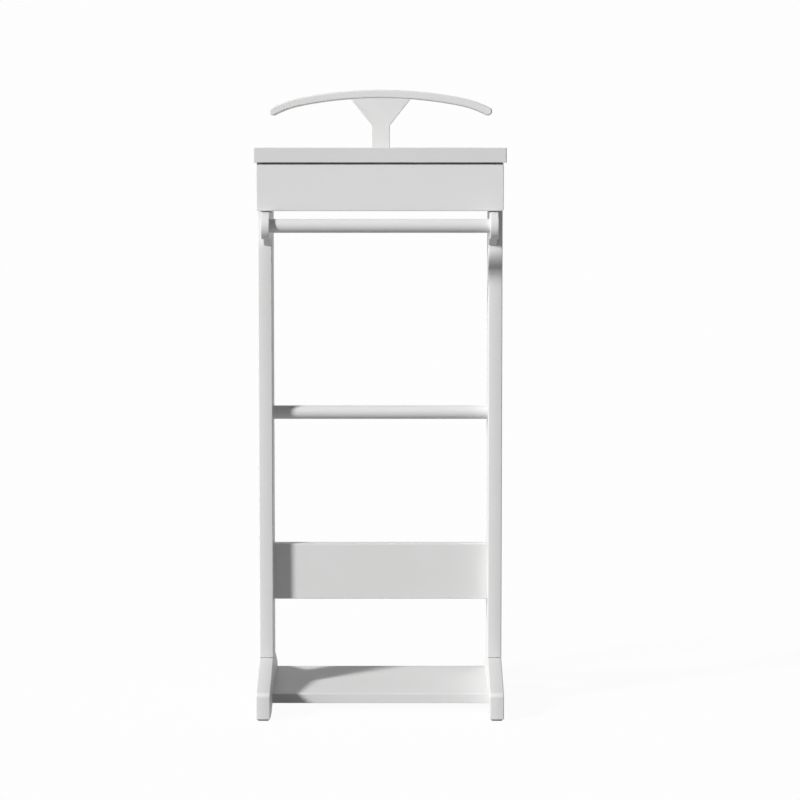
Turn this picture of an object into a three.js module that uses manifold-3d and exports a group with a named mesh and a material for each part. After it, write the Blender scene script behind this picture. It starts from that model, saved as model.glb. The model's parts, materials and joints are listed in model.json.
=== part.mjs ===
// Valet stand of white lacquered wood: two shaped feet with uprights, a sloping shoe shelf, a cross
// panel, a lower bar, a trouser bar on two arms, a top case with one drawer, and a coat hanger on a
// post behind the case. Millimetres, +Z up, the front faces -Y, and the origin is on the floor
// under the middle of the footprint.
import * as THREE from 'three';
import { mergeVertices } from 'three/addons/utils/BufferGeometryUtils.js';
import Module from 'manifold-3d';

// Feet
const FOOT_LENGTH = 312;
const TOE_HEIGHT = 49.5;
const HEEL_HEIGHT = 54;
const INSTEP_HEIGHT = 90;
const TOE_RADIUS = 9;
const HEEL_RADIUS = 12;
const SOLE_RADIUS = 2;
const PAD_LENGTH = 64;
const ARCH_RUN = 52;
const ARCH_HEIGHT = 14;
const ARCH_START_SLOPE = 0.45;
const GLIDE_THICKNESS = 2;
const GLIDE_LENGTH = 42;
const GLIDE_MARGIN = 3;

// Side frames
const FRAME_WIDTH = 446;
const SIDE_THICKNESS = 25.5;
const UPRIGHT_DEPTH = 80;
const UPRIGHT_OFFSET = 23;
const EDGE_RADIUS = 1.5;

// Shoe shelf, cross panel and lower bar
const SHELF_THICKNESS = 18;
const SHELF_DEPTH = 216;
const SHELF_SLOPE = THREE.MathUtils.degToRad(3.2);
const SHELF_FRONT_HEIGHT = 14;
const SHELF_BACK_SETBACK = 1;
const PANEL_THICKNESS = 25.5;
const PANEL_WIDTH = 103;
const PANEL_BASE_HEIGHT = 196;
const BAR_DIAMETER = 25;
const BAR_SOCKET_DEPTH = 12;
const LOWER_BAR_HEIGHT = 542;

// Trouser bar arms
const ARM_THICKNESS = 15;
const ARM_REACH = 81;
const ARM_NOSE_RADIUS = 24;
const ARM_SOCKET_DEPTH = 9;
const ARM_CLEARANCE = 2;
const ARM_HEEL_RUN = 18;
const ARM_HEEL_DROP = 12.5;
const ARM_HEEL_LIP = 1.5;
const ARM_DOWEL_INSET = 10;

// Case and top board
const CASE_BASE_HEIGHT = 916;
const CASE_HEIGHT = 85;
const CASE_BOARD = 12;
const CASE_BACK_THICKNESS = 15;
const CASE_FRONT_OVERHANG = 28;
const CASE_REAR_OVERHANG = 47;
const TOP_THICKNESS = 27;
const TOP_OVERHANG = 5;
const TOP_EDGE = 1.5;

// Drawer and its runners
const FRONT_THICKNESS = 18;
const FRONT_TOP_GAP = 2;
const FRONT_DROP = 2;
const FRONT_REAR_GAP = 1;
const DRAWER_BOARD = 12;
const DRAWER_SIDE_GAP = 2;
const DRAWER_BOX_HEIGHT = 58;
const DRAWER_FLOOR_GAP = 6;
const DRAWER_BOX_DEPTH = 134;
const DRAWER_BOTTOM_THICKNESS = 4;
const DRAWER_BOTTOM_LIFT = 6;
const DRAWER_GROOVE_DEPTH = 5;
const RUNNER_HEIGHT = 12;
const RUNNER_DEPTH = 8;
const RUNNER_LENGTH = 128;
const RUNNER_SETBACK = 7;
const RUNNER_CLEARANCE = 0.3;
const RUNNER_GAP = 1;
const GRIP_LENGTH = 200;
const GRIP_WIDTH = 9;
const GRIP_DEPTH = 8;
const GRIP_LIP = 6;

// Hanger
const HANGER_HEIGHT = 1136;
const HANGER_SPAN = 414;
const HANGER_RADIUS = 780;
const HANGER_END_RADIUS = 200;
const HANGER_END_LENGTH = 57;
const RAIL_THICKNESS = 15;
const RAIL_DEPTH = 40;
const RAIL_EDGE = 2;
const HANGER_BOARD_THICKNESS = 18;
const POST_WIDTH = 34;
const POST_FOOT_LIFT = 9;
const YOKE_DROP = 51;
const YOKE_WIDTH = 112;
const GLUE_LINE = 0.3;

// Fasteners
const FIT_GAP = 0.3;
const SCREW_RADIUS = 2.5;
const SCREW_HEAD_RADIUS = 5;
const SCREW_HEAD_HEIGHT = 3;
const SCREW_BITE = 30;
const COUNTERBORE_DEPTH = 7;
const CAP_RADIUS = 7.5;
const CAP_THICKNESS = 1.2;
const CAP_PLUG_LENGTH = 2;
const FOOT_SCREW_RADIUS = 3.5;
const FOOT_SCREW_HEAD_RADIUS = 6.5;
const FOOT_SCREW_BITE = 45;
const SHELF_SCREWS = [{ place: 'front', share: 0.2 }, { place: 'rear', share: 0.75 }];
const CASE_SCREW_INSET = 8;
const UPRIGHT_SCREW_INSET = 24;
const DOWEL_RADIUS = 4;
const DOWEL_LENGTH = 30;
const BOARD_SCREW_LENGTH = 28;
const POST_SCREW_SPACING = 38;

// Places worked out from the sizes above
const halfFrame = FRAME_WIDTH / 2;
const innerFrame = halfFrame - SIDE_THICKNESS;
const sideMiddle = halfFrame - SIDE_THICKNESS / 2;
const footFront = -FOOT_LENGTH / 2;
const footRear = FOOT_LENGTH / 2;
const uprightFront = UPRIGHT_OFFSET - UPRIGHT_DEPTH / 2;
const uprightRear = UPRIGHT_OFFSET + UPRIGHT_DEPTH / 2;
const caseFront = uprightFront - CASE_FRONT_OVERHANG;
const caseRear = uprightRear + CASE_REAR_OVERHANG;
const caseTop = CASE_BASE_HEIGHT + CASE_HEIGHT;
const caseFloor = CASE_BASE_HEIGHT + CASE_BOARD;
const caseInner = halfFrame - CASE_BOARD;
const frontBase = CASE_BASE_HEIGHT - FRONT_DROP;
const frontTop = caseTop - FRONT_TOP_GAP;
const frontRear = caseFront - FRONT_REAR_GAP;
const frontFace = frontRear - FRONT_THICKNESS;
const armInner = innerFrame;
const trouserBarY = uprightFront - ARM_REACH;
const trouserBarZ = frontBase - ARM_CLEARANCE - ARM_NOSE_RADIUS;
const topFace = caseTop + TOP_THICKNESS;

const SIDES = [{ name: 'left', sign: -1 }, { name: 'right', sign: 1 }];
const ROUND_SEGMENTS = 32;
const SMALL_SEGMENTS = 12;

const wasm = await Module();
wasm.setup();

const lacquer = { color: 0xdcdcda, roughness: 0.38, metalness: 0 };
const birch = { color: 0xd8bd92, roughness: 0.6, metalness: 0 };
const beech = { color: 0xc79a68, roughness: 0.7, metalness: 0 };
const steel = { color: 0xa9abad, roughness: 0.35, metalness: 1 };
const plastic = { color: 0xe6e6e4, roughness: 0.45, metalness: 0 };
const felt = { color: 0x8c8a86, roughness: 0.95, metalness: 0 };

const stand = new THREE.Group();

/** Adds one named piece to a group, with a material of its own. */
function piece(group, name, geometry, finish) {
  const mesh = new THREE.Mesh(geometry, new THREE.MeshStandardMaterial(finish));
  mesh.name = name;
  group.add(mesh);
  return mesh;
}

/** Orders the two ends of a stretch that is measured outwards from the middle on one side. */
function outwards(sign, inner, outer) {
  return sign > 0 ? [inner, outer] : [-outer, -inner];
}

/** Closed outline through corners [u, v, radius], each rounded by an arc of its radius. */
function outline(corners) {
  const shape = new THREE.Shape();
  corners.forEach(([u, v, radius], index) => {
    const here = new THREE.Vector2(u, v);
    const before = corners[(index + corners.length - 1) % corners.length];
    const after = corners[(index + 1) % corners.length];
    const back = new THREE.Vector2(before[0], before[1]).sub(here).normalize();
    const ahead = new THREE.Vector2(after[0], after[1]).sub(here).normalize();
    const half = Math.acos(THREE.MathUtils.clamp(back.dot(ahead), -1, 1)) / 2;
    const reach = radius ? radius / Math.tan(half) : 0;
    const start = here.clone().addScaledVector(back, reach);
    if (index === 0) shape.moveTo(start.x, start.y);
    else shape.lineTo(start.x, start.y);
    if (!radius) return;
    const middle = back.clone().add(ahead).normalize();
    const centre = here.clone().addScaledVector(middle, radius / Math.sin(half));
    const end = here.clone().addScaledVector(ahead, reach);
    const turn = back.x * ahead.y - back.y * ahead.x;
    const from = Math.atan2(start.y - centre.y, start.x - centre.x);
    const to = Math.atan2(end.y - centre.y, end.x - centre.x);
    shape.absarc(centre.x, centre.y, radius, from, to, turn > 0);
  });
  shape.closePath();
  return shape;
}

/** Rectangle with one radius at its four corners. */
function rectangle(u0, v0, u1, v1, radius = 0) {
  return outline([[u0, v0, radius], [u1, v0, radius], [u1, v1, radius], [u0, v1, radius]]);
}

/** Turns the local axes of a geometry exactly onto three of the stand's axes. */
function turnTo(geometry, first, second, third) {
  return geometry.applyMatrix4(new THREE.Matrix4().makeBasis(first, second, third));
}

const X = new THREE.Vector3(1, 0, 0);
const Y = new THREE.Vector3(0, 1, 0);
const Z = new THREE.Vector3(0, 0, 1);

/** Extrudes an outline between two places on an axis, with its end edges chamfered by edge.
 *  The outline is drawn in (y, z) along x, in (x, z) along y and in (x, y) along z. */
function extrude(shape, axis, from, to, edge = 0, curveSegments = 6) {
  const geometry = new THREE.ExtrudeGeometry(shape, {
    depth: to - from - 2 * edge,
    bevelEnabled: edge > 0,
    bevelThickness: edge,
    bevelSize: edge,
    bevelOffset: -edge,
    bevelSegments: 1,
    curveSegments,
  });
  if (axis === 'x') return turnTo(geometry, Y, Z, X).translate(from + edge, 0, 0);
  if (axis === 'y') return turnTo(geometry, X, Z, Y.clone().negate()).translate(0, to - edge, 0);
  return geometry.translate(0, 0, from + edge);
}

/** Plain block between two corners. */
function block([x0, x1], [y0, y1], [z0, z1]) {
  const geometry = new THREE.BoxGeometry(x1 - x0, y1 - y0, z1 - z0);
  return geometry.translate((x0 + x1) / 2, (y0 + y1) / 2, (z0 + z1) / 2);
}

/** Cylinder along an axis; place gives the two other coordinates in x, y, z order. */
function cylinder(axis, place, radius, from, to, segments = SMALL_SEGMENTS) {
  const geometry = new THREE.CylinderGeometry(radius, radius, to - from, segments);
  const middle = (from + to) / 2;
  if (axis === 'x') return turnTo(geometry, Z, X, Y).translate(middle, place[0], place[1]);
  if (axis === 'y') return geometry.translate(place[0], middle, place[1]);
  return turnTo(geometry, Y, Z, X).translate(place[0], place[1], middle);
}

/** Closed solid for the boolean library, from a geometry of three.js. */
function solid(geometry) {
  const bare = geometry.clone();
  bare.deleteAttribute('normal');
  bare.deleteAttribute('uv');
  const merged = mergeVertices(bare, 1e-4);
  return new wasm.Manifold(new wasm.Mesh({
    numProp: 3,
    vertProperties: new Float32Array(merged.attributes.position.array),
    triVerts: new Uint32Array(merged.index.array),
  }));
}

/** A geometry with others cut out of it. */
function cut(base, tools) {
  const result = tools.reduce((left, tool) => left.subtract(solid(tool)), solid(base));
  const { vertProperties, triVerts } = result.getMesh();
  const geometry = new THREE.BufferGeometry();
  geometry.setAttribute('position', new THREE.BufferAttribute(new Float32Array(vertProperties), 3));
  geometry.setIndex(new THREE.BufferAttribute(new Uint32Array(triVerts), 1));
  geometry.computeVertexNormals();
  return geometry;
}

/** Flat-headed screw on the local Y axis: the head's face is at 0 and the point is at -length. */
function screwGeometry(radius, headRadius, headHeight, length) {
  const point = 2 * radius;
  const chamfer = headHeight / 3;
  const profile = [
    [0, -length],
    [radius, point - length],
    [radius, -headHeight],
    [headRadius, -headHeight],
    [headRadius, -chamfer],
    [headRadius - chamfer, 0],
    [0, 0],
  ].map(([r, y]) => new THREE.Vector2(r, y));
  return new THREE.LatheGeometry(profile, SMALL_SEGMENTS);
}

/** Round cover cap on the local Y axis: a low dome over the hole and a plug inside it. */
function capGeometry() {
  const plugRadius = SCREW_HEAD_RADIUS + FIT_GAP;
  const rim = CAP_THICKNESS / 3;
  const profile = [
    [0, -CAP_PLUG_LENGTH],
    [plugRadius, -CAP_PLUG_LENGTH],
    [plugRadius, 0],
    [CAP_RADIUS, 0],
    [CAP_RADIUS, rim],
    [CAP_RADIUS - CAP_THICKNESS, CAP_THICKNESS],
    [0, CAP_THICKNESS],
  ].map(([r, y]) => new THREE.Vector2(r, y));
  return new THREE.LatheGeometry(profile, SMALL_SEGMENTS);
}

/** Turns a lathe geometry so that its local +Y points along a direction, and puts it in place. */
function pointing(geometry, direction, place) {
  const turn = new THREE.Quaternion().setFromUnitVectors(Y, direction);
  return geometry.applyQuaternion(turn).translate(...place);
}

/** Holes for one screw that enters a side frame from outside and bites into a cross member. */
function sideScrewHoles(sign, y, z) {
  const seat = halfFrame - COUNTERBORE_DEPTH;
  const counterbore = outwards(sign, seat, halfFrame + 1);
  const shank = outwards(sign, innerFrame - SCREW_BITE - 1, seat + 1);
  return [
    cylinder('x', [y, z], SCREW_HEAD_RADIUS + 2 * FIT_GAP, ...counterbore),
    cylinder('x', [y, z], SCREW_RADIUS + FIT_GAP, ...shank),
  ];
}

/** Screw and cover cap that join a side frame to a cross member. */
function sideScrew(group, side, role, place, y, z) {
  const direction = X.clone().multiplyScalar(side.sign);
  const headFace = halfFrame - COUNTERBORE_DEPTH + SCREW_HEAD_HEIGHT;
  const length = headFace - innerFrame + SCREW_BITE;
  const screw = screwGeometry(SCREW_RADIUS, SCREW_HEAD_RADIUS, SCREW_HEAD_HEIGHT, length);
  const screwPlace = [side.sign * headFace, y, z];
  piece(group, `${side.name}_${role}_screw_${place}`, pointing(screw, direction, screwPlace), steel);
  const capPlace = [side.sign * halfFrame, y, z];
  piece(group, `${side.name}_${role}_cap_${place}`, pointing(capGeometry(), direction, capPlace), plastic);
}

/** Places of the two shelf screws in (y, z), on the middle line of the sloping shelf. */
function shelfScrewPlaces() {
  const corner = shelfCorner();
  return SHELF_SCREWS.map(({ place, share }) => {
    const along = share * SHELF_DEPTH;
    const y = corner.y + along * Math.cos(SHELF_SLOPE) - (SHELF_THICKNESS / 2) * Math.sin(SHELF_SLOPE);
    const z = corner.z + along * Math.sin(SHELF_SLOPE) + (SHELF_THICKNESS / 2) * Math.cos(SHELF_SLOPE);
    return { place, y, z };
  });
}

/** Lower front corner of the shoe shelf, in (y, z). */
function shelfCorner() {
  const run = SHELF_DEPTH * Math.cos(SHELF_SLOPE);
  return { y: footRear - SHELF_BACK_SETBACK - run, z: SHELF_FRONT_HEIGHT };
}

/** Places of the two panel screws in (y, z). */
function panelScrewPlaces() {
  const quarter = PANEL_WIDTH / 4;
  return [
    { place: 'lower', y: UPRIGHT_OFFSET, z: PANEL_BASE_HEIGHT + quarter },
    { place: 'upper', y: UPRIGHT_OFFSET, z: PANEL_BASE_HEIGHT + 3 * quarter },
  ];
}

/** Depths at which the long foot screws and the case screws stand in the uprights. */
function uprightScrewPlaces() {
  return [
    { place: 'front', y: uprightFront + UPRIGHT_SCREW_INSET },
    { place: 'rear', y: uprightRear - UPRIGHT_SCREW_INSET },
  ];
}

/** Places of the two dowels that hold an arm, in z. */
function armDowelPlaces() {
  const offset = ARM_NOSE_RADIUS - ARM_DOWEL_INSET;
  return [{ place: 'lower', z: trouserBarZ - offset }, { place: 'upper', z: trouserBarZ + offset }];
}

/** Holes for the dowels between an arm and the front edge of its upright. */
function armDowelHoles(sign) {
  const x = sign * (armInner + ARM_THICKNESS / 2);
  const half = DOWEL_LENGTH / 2 + FIT_GAP;
  return armDowelPlaces().map(({ z }) =>
    cylinder('y', [x, z], DOWEL_RADIUS + FIT_GAP, uprightFront - half, uprightFront + half));
}

/** Foot: a long shoe with sloping top faces, a flat seat for the upright and a shallow arch. */
function footGeometry(sign) {
  const profile = outline([
    [footFront, GLIDE_THICKNESS, SOLE_RADIUS],
    [footRear, GLIDE_THICKNESS, SOLE_RADIUS],
    [footRear, HEEL_HEIGHT, HEEL_RADIUS],
    [uprightRear, INSTEP_HEIGHT, 0],
    [uprightFront, INSTEP_HEIGHT, 0],
    [footFront, TOE_HEIGHT, TOE_RADIUS],
  ]);
  const span = outwards(sign, innerFrame, halfFrame);
  const holes = [archTool(sign)];
  for (const { y } of uprightScrewPlaces()) {
    const x = sign * sideMiddle;
    const head = ARCH_HEIGHT + COUNTERBORE_DEPTH;
    holes.push(cylinder('z', [x, y], FOOT_SCREW_HEAD_RADIUS + FIT_GAP, ARCH_HEIGHT - 1, head));
    holes.push(cylinder('z', [x, y], FOOT_SCREW_RADIUS + FIT_GAP, head - 1, INSTEP_HEIGHT + 1));
  }
  for (const { y, z } of shelfScrewPlaces()) holes.push(...sideScrewHoles(sign, y, z));
  return cut(extrude(profile, 'x', ...span, EDGE_RADIUS, 3), holes);
}

/** Space under a foot, between its pads: a flat roof with a soft curve down to each pad. */
function archTool(sign) {
  const rise = ARCH_HEIGHT - GLIDE_THICKNESS;
  const bend = rise / ARCH_START_SLOPE;
  const front = footFront + PAD_LENGTH;
  const rear = footRear - PAD_LENGTH;
  const shape = new THREE.Shape();
  shape.moveTo(front, 0);
  shape.lineTo(rear, 0);
  shape.lineTo(rear, GLIDE_THICKNESS);
  shape.quadraticCurveTo(rear - bend, ARCH_HEIGHT, rear - ARCH_RUN, ARCH_HEIGHT);
  shape.lineTo(front + ARCH_RUN, ARCH_HEIGHT);
  shape.quadraticCurveTo(front + bend, ARCH_HEIGHT, front, GLIDE_THICKNESS);
  shape.closePath();
  return extrude(shape, 'x', ...outwards(sign, innerFrame - 1, halfFrame + 1), 0, 5);
}

/** Upright: a plain board on edge, with a socket for the lower bar and holes for its fixings. */
function uprightGeometry(sign) {
  const [x0, x1] = outwards(sign, innerFrame, halfFrame);
  const section = rectangle(x0, uprightFront, x1, uprightRear, EDGE_RADIUS);
  const socket = outwards(sign, innerFrame - 1, innerFrame + BAR_SOCKET_DEPTH);
  const barPlace = [UPRIGHT_OFFSET, LOWER_BAR_HEIGHT];
  const holes = [cylinder('x', barPlace, BAR_DIAMETER / 2 + FIT_GAP, ...socket, ROUND_SEGMENTS)];
  holes.push(...armDowelHoles(sign));
  for (const { y, z } of panelScrewPlaces()) holes.push(...sideScrewHoles(sign, y, z));
  for (const { y } of uprightScrewPlaces()) {
    const footTip = INSTEP_HEIGHT + FOOT_SCREW_BITE + FIT_GAP;
    const caseTip = CASE_BASE_HEIGHT - SCREW_BITE - FIT_GAP;
    const footPlace = [sign * sideMiddle, y];
    const casePlace = [sign * (innerFrame + CASE_SCREW_INSET), y];
    holes.push(cylinder('z', footPlace, FOOT_SCREW_RADIUS + FIT_GAP, INSTEP_HEIGHT - 1, footTip));
    holes.push(cylinder('z', casePlace, SCREW_RADIUS + FIT_GAP, caseTip, CASE_BASE_HEIGHT + 1));
  }
  return cut(extrude(section, 'z', INSTEP_HEIGHT, CASE_BASE_HEIGHT, 0, 2), holes);
}

/** One side frame: foot, two glides, upright, and the long screws that hold them together. */
function addSideFrame(side) {
  const group = new THREE.Group();
  piece(group, `${side.name}_foot`, footGeometry(side.sign), lacquer);
  piece(group, `${side.name}_upright`, uprightGeometry(side.sign), lacquer);
  const [x0, x1] = outwards(side.sign, innerFrame + GLIDE_MARGIN, halfFrame - GLIDE_MARGIN);
  const glides = [['front', footFront + GLIDE_MARGIN], ['rear', footRear - GLIDE_MARGIN - GLIDE_LENGTH]];
  for (const [place, y] of glides) {
    const sole = rectangle(x0, y, x1, y + GLIDE_LENGTH, GLIDE_MARGIN);
    piece(group, `${side.name}_glide_${place}`, extrude(sole, 'z', 0, GLIDE_THICKNESS), felt);
  }
  for (const { place, y } of uprightScrewPlaces()) {
    const seat = ARCH_HEIGHT + COUNTERBORE_DEPTH;
    const length = INSTEP_HEIGHT + FOOT_SCREW_BITE - seat + SCREW_HEAD_HEIGHT;
    const screw = screwGeometry(FOOT_SCREW_RADIUS, FOOT_SCREW_HEAD_RADIUS, SCREW_HEAD_HEIGHT, length);
    const headPlace = [side.sign * sideMiddle, y, seat - SCREW_HEAD_HEIGHT];
    const down = Z.clone().negate();
    piece(group, `${side.name}_foot_screw_${place}`, pointing(screw, down, headPlace), steel);
  }
  stand.add(group);
}

/** Shoe shelf between the feet, rising towards the back. */
function addShoeShelf() {
  const group = new THREE.Group();
  const { y, z } = shelfCorner();
  const along = new THREE.Vector2(Math.cos(SHELF_SLOPE), Math.sin(SHELF_SLOPE));
  const up = new THREE.Vector2(-along.y, along.x);
  const corner = (depth, height) => {
    const point = new THREE.Vector2(y, z).addScaledVector(along, depth).addScaledVector(up, height);
    return [point.x, point.y, EDGE_RADIUS];
  };
  const profile = outline([
    corner(0, 0),
    corner(SHELF_DEPTH, 0),
    corner(SHELF_DEPTH, SHELF_THICKNESS),
    corner(0, SHELF_THICKNESS),
  ]);
  const places = shelfScrewPlaces();
  const holes = SIDES.flatMap(({ sign }) => places.flatMap((p) => endHole(sign, p.y, p.z)));
  const board = extrude(profile, 'x', -innerFrame, innerFrame, 0, 3);
  piece(group, 'shoe_shelf', cut(board, holes), lacquer);
  for (const side of SIDES) {
    for (const p of places) sideScrew(group, side, 'shelf', p.place, p.y, p.z);
  }
  stand.add(group);
}

/** Pilot hole in the end of a cross member for one side screw. */
function endHole(sign, y, z) {
  const bite = outwards(sign, innerFrame - SCREW_BITE - FIT_GAP, innerFrame + 1);
  return [cylinder('x', [y, z], SCREW_RADIUS + FIT_GAP, ...bite)];
}

/** Cross panel between the uprights, in the middle of their depth. */
function addCrossPanel() {
  const group = new THREE.Group();
  const top = PANEL_BASE_HEIGHT + PANEL_WIDTH;
  const front = UPRIGHT_OFFSET - PANEL_THICKNESS / 2;
  const rear = front + PANEL_THICKNESS;
  const section = rectangle(front, PANEL_BASE_HEIGHT, rear, top, EDGE_RADIUS);
  const places = panelScrewPlaces();
  const holes = SIDES.flatMap(({ sign }) => places.flatMap((p) => endHole(sign, p.y, p.z)));
  const board = extrude(section, 'x', -innerFrame, innerFrame, 0, 3);
  piece(group, 'cross_panel', cut(board, holes), lacquer);
  for (const side of SIDES) {
    for (const p of places) sideScrew(group, side, 'panel', p.place, p.y, p.z);
  }
  stand.add(group);
}

/** Lower bar, let into a socket in each upright. */
function addLowerBar() {
  const reach = innerFrame + BAR_SOCKET_DEPTH;
  const place = [UPRIGHT_OFFSET, LOWER_BAR_HEIGHT];
  const bar = cylinder('x', place, BAR_DIAMETER / 2, -reach, reach, ROUND_SEGMENTS);
  piece(stand, 'lower_bar', bar, lacquer);
}

/** Arm of the trouser bar: round nose, straight top edge, and a sloping heel at the upright. */
function armGeometry(sign) {
  const top = trouserBarZ + ARM_NOSE_RADIUS;
  const under = trouserBarZ - ARM_NOSE_RADIUS;
  const heelBase = under - ARM_HEEL_DROP;
  const profile = new THREE.Shape();
  profile.moveTo(uprightFront, heelBase);
  profile.lineTo(uprightFront, top);
  profile.lineTo(trouserBarY, top);
  profile.absarc(trouserBarY, trouserBarZ, ARM_NOSE_RADIUS, Math.PI / 2, Math.PI * 1.5, false);
  profile.lineTo(uprightFront - ARM_HEEL_RUN, under);
  profile.lineTo(uprightFront - ARM_HEEL_LIP, heelBase);
  profile.closePath();
  const span = outwards(sign, armInner, armInner + ARM_THICKNESS);
  const socket = outwards(sign, armInner - 1, armInner + ARM_SOCKET_DEPTH);
  const barPlace = [trouserBarY, trouserBarZ];
  const barHole = cylinder('x', barPlace, BAR_DIAMETER / 2 + FIT_GAP, ...socket, ROUND_SEGMENTS);
  return cut(extrude(profile, 'x', ...span, 0, 12), [barHole, ...armDowelHoles(sign)]);
}

/** Trouser bar with its two arms and the dowels that hold them to the uprights. */
function addTrouserBar() {
  const group = new THREE.Group();
  for (const side of SIDES) {
    piece(group, `${side.name}_bar_arm`, armGeometry(side.sign), lacquer);
    const x = side.sign * (armInner + ARM_THICKNESS / 2);
    const half = DOWEL_LENGTH / 2;
    for (const { place, z } of armDowelPlaces()) {
      const dowel = cylinder('y', [x, z], DOWEL_RADIUS, uprightFront - half, uprightFront + half);
      piece(group, `${side.name}_arm_dowel_${place}`, dowel, beech);
    }
  }
  const reach = armInner + ARM_SOCKET_DEPTH;
  const place = [trouserBarY, trouserBarZ];
  const bar = cylinder('x', place, BAR_DIAMETER / 2, -reach, reach, ROUND_SEGMENTS);
  piece(group, 'trouser_bar', bar, lacquer);
  stand.add(group);
}

/** Case: bottom board on the uprights, two sides, a back and a thick overhanging top board. */
function addCase() {
  const group = new THREE.Group();
  const bottom = block([-halfFrame, halfFrame], [caseFront, caseRear], [CASE_BASE_HEIGHT, caseFloor]);
  const seat = caseFloor - SCREW_HEAD_HEIGHT - FIT_GAP;
  const holes = [];
  for (const side of SIDES) {
    const x = side.sign * (innerFrame + CASE_SCREW_INSET);
    for (const { place, y } of uprightScrewPlaces()) {
      holes.push(cylinder('z', [x, y], SCREW_HEAD_RADIUS + FIT_GAP, seat, caseFloor + 1));
      holes.push(cylinder('z', [x, y], SCREW_RADIUS + FIT_GAP, CASE_BASE_HEIGHT - 1, seat + 1));
      const length = seat + SCREW_HEAD_HEIGHT - CASE_BASE_HEIGHT + SCREW_BITE;
      const screw = screwGeometry(SCREW_RADIUS, SCREW_HEAD_RADIUS, SCREW_HEAD_HEIGHT, length);
      const headPlace = [x, y, seat + SCREW_HEAD_HEIGHT];
      piece(group, `${side.name}_case_screw_${place}`, pointing(screw, Z, headPlace), steel);
    }
    const across = outwards(side.sign, caseInner, halfFrame);
    const wall = block(across, [caseFront, caseRear], [caseFloor, caseTop]);
    piece(group, `case_${side.name}_side`, wall, lacquer);
  }
  piece(group, 'case_bottom', cut(bottom, holes), lacquer);
  const backFront = caseRear - CASE_BACK_THICKNESS;
  const back = block([-caseInner, caseInner], [backFront, caseRear], [caseFloor, caseTop]);
  piece(group, 'case_back', cut(back, postScrewHoles()), lacquer);
  const outer = halfFrame + TOP_OVERHANG;
  const plan = rectangle(-outer, frontFace - TOP_OVERHANG, outer, caseRear, 2 * TOP_EDGE);
  piece(group, 'top_board', extrude(plan, 'z', caseTop, topFace, TOP_EDGE, 3), lacquer);
  stand.add(group);
}

/** Height of the middle of the drawer runners. */
function runnerHeight() {
  return caseFloor + DRAWER_FLOOR_GAP + DRAWER_BOX_HEIGHT / 2;
}

/** Wooden runner strips on the inner faces of the case. */
function addRunners() {
  const z = [runnerHeight() - RUNNER_HEIGHT / 2, runnerHeight() + RUNNER_HEIGHT / 2];
  const y = [caseFront + RUNNER_SETBACK, caseFront + RUNNER_SETBACK + RUNNER_LENGTH];
  for (const side of SIDES) {
    const strip = block(outwards(side.sign, caseInner - RUNNER_DEPTH, caseInner), y, z);
    piece(stand, `${side.name}_runner`, strip, beech);
  }
}

/** Drawer: full-width front, grooved sides, a back, and a thin bottom held in grooves. */
function addDrawer() {
  const group = new THREE.Group();
  const outer = caseInner - DRAWER_SIDE_GAP;
  const inner = outer - DRAWER_BOARD;
  const base = caseFloor + DRAWER_FLOOR_GAP;
  const top = base + DRAWER_BOX_HEIGHT;
  const rear = frontRear + DRAWER_BOX_DEPTH;
  const backFront = rear - DRAWER_BOARD;
  const sheet = [base + DRAWER_BOTTOM_LIFT, base + DRAWER_BOTTOM_LIFT + DRAWER_BOTTOM_THICKNESS];
  const slotZ = [sheet[0], sheet[1] + FIT_GAP];
  const slotX = inner + DRAWER_GROOVE_DEPTH;
  const slotY = [frontRear - DRAWER_GROOVE_DEPTH, backFront + DRAWER_GROOVE_DEPTH];
  const sheetSlot = block([-slotX, slotX], slotY, slotZ);

  const face = rectangle(-halfFrame, frontBase, halfFrame, frontTop, 2 * EDGE_RADIUS);
  const gripFront = frontFace + GRIP_LIP;
  const gripX = [-GRIP_LENGTH / 2, GRIP_LENGTH / 2];
  const grip = block(gripX, [gripFront, gripFront + GRIP_WIDTH], [frontBase - 1, frontBase + GRIP_DEPTH]);
  const front = extrude(face, 'y', frontFace, frontRear, EDGE_RADIUS, 3);
  piece(group, 'drawer_front', cut(front, [grip, sheetSlot]), lacquer);

  const grooveEnd = caseFront + RUNNER_SETBACK - RUNNER_GAP;
  const grooveHalf = RUNNER_HEIGHT / 2 + RUNNER_CLEARANCE;
  const grooveZ = [runnerHeight() - grooveHalf, runnerHeight() + grooveHalf];
  const grooveInner = caseInner - RUNNER_DEPTH - RUNNER_GAP;
  for (const side of SIDES) {
    const wall = block(outwards(side.sign, inner, outer), [frontRear, rear], [base, top]);
    const groove = block(outwards(side.sign, grooveInner, outer + 1), [grooveEnd, rear + 1], grooveZ);
    piece(group, `drawer_${side.name}_side`, cut(wall, [groove, sheetSlot]), birch);
  }
  const back = block([-inner, inner], [backFront, rear], [base, top]);
  piece(group, 'drawer_back', cut(back, [sheetSlot]), birch);
  const sheetX = slotX - FIT_GAP;
  const sheetY = [slotY[0] + FIT_GAP, slotY[1] - FIT_GAP];
  piece(group, 'drawer_bottom', block([-sheetX, sheetX], sheetY, sheet), birch);
  stand.add(group);
}

/** Heights of the two screws that hold the hanger's post to the back of the case. */
function postScrewPlaces() {
  const middle = (caseFloor + caseTop) / 2;
  return [
    { place: 'lower', z: middle - POST_SCREW_SPACING / 2 },
    { place: 'upper', z: middle + POST_SCREW_SPACING / 2 },
  ];
}

/** Holes for the post screws, through the post and into the back of the case. */
function postScrewHoles() {
  const rear = caseRear + HANGER_BOARD_THICKNESS;
  return postScrewPlaces().map(({ z }) =>
    cylinder('y', [0, z], SCREW_RADIUS + FIT_GAP, rear - BOARD_SCREW_LENGTH - FIT_GAP, rear + 1));
}

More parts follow.
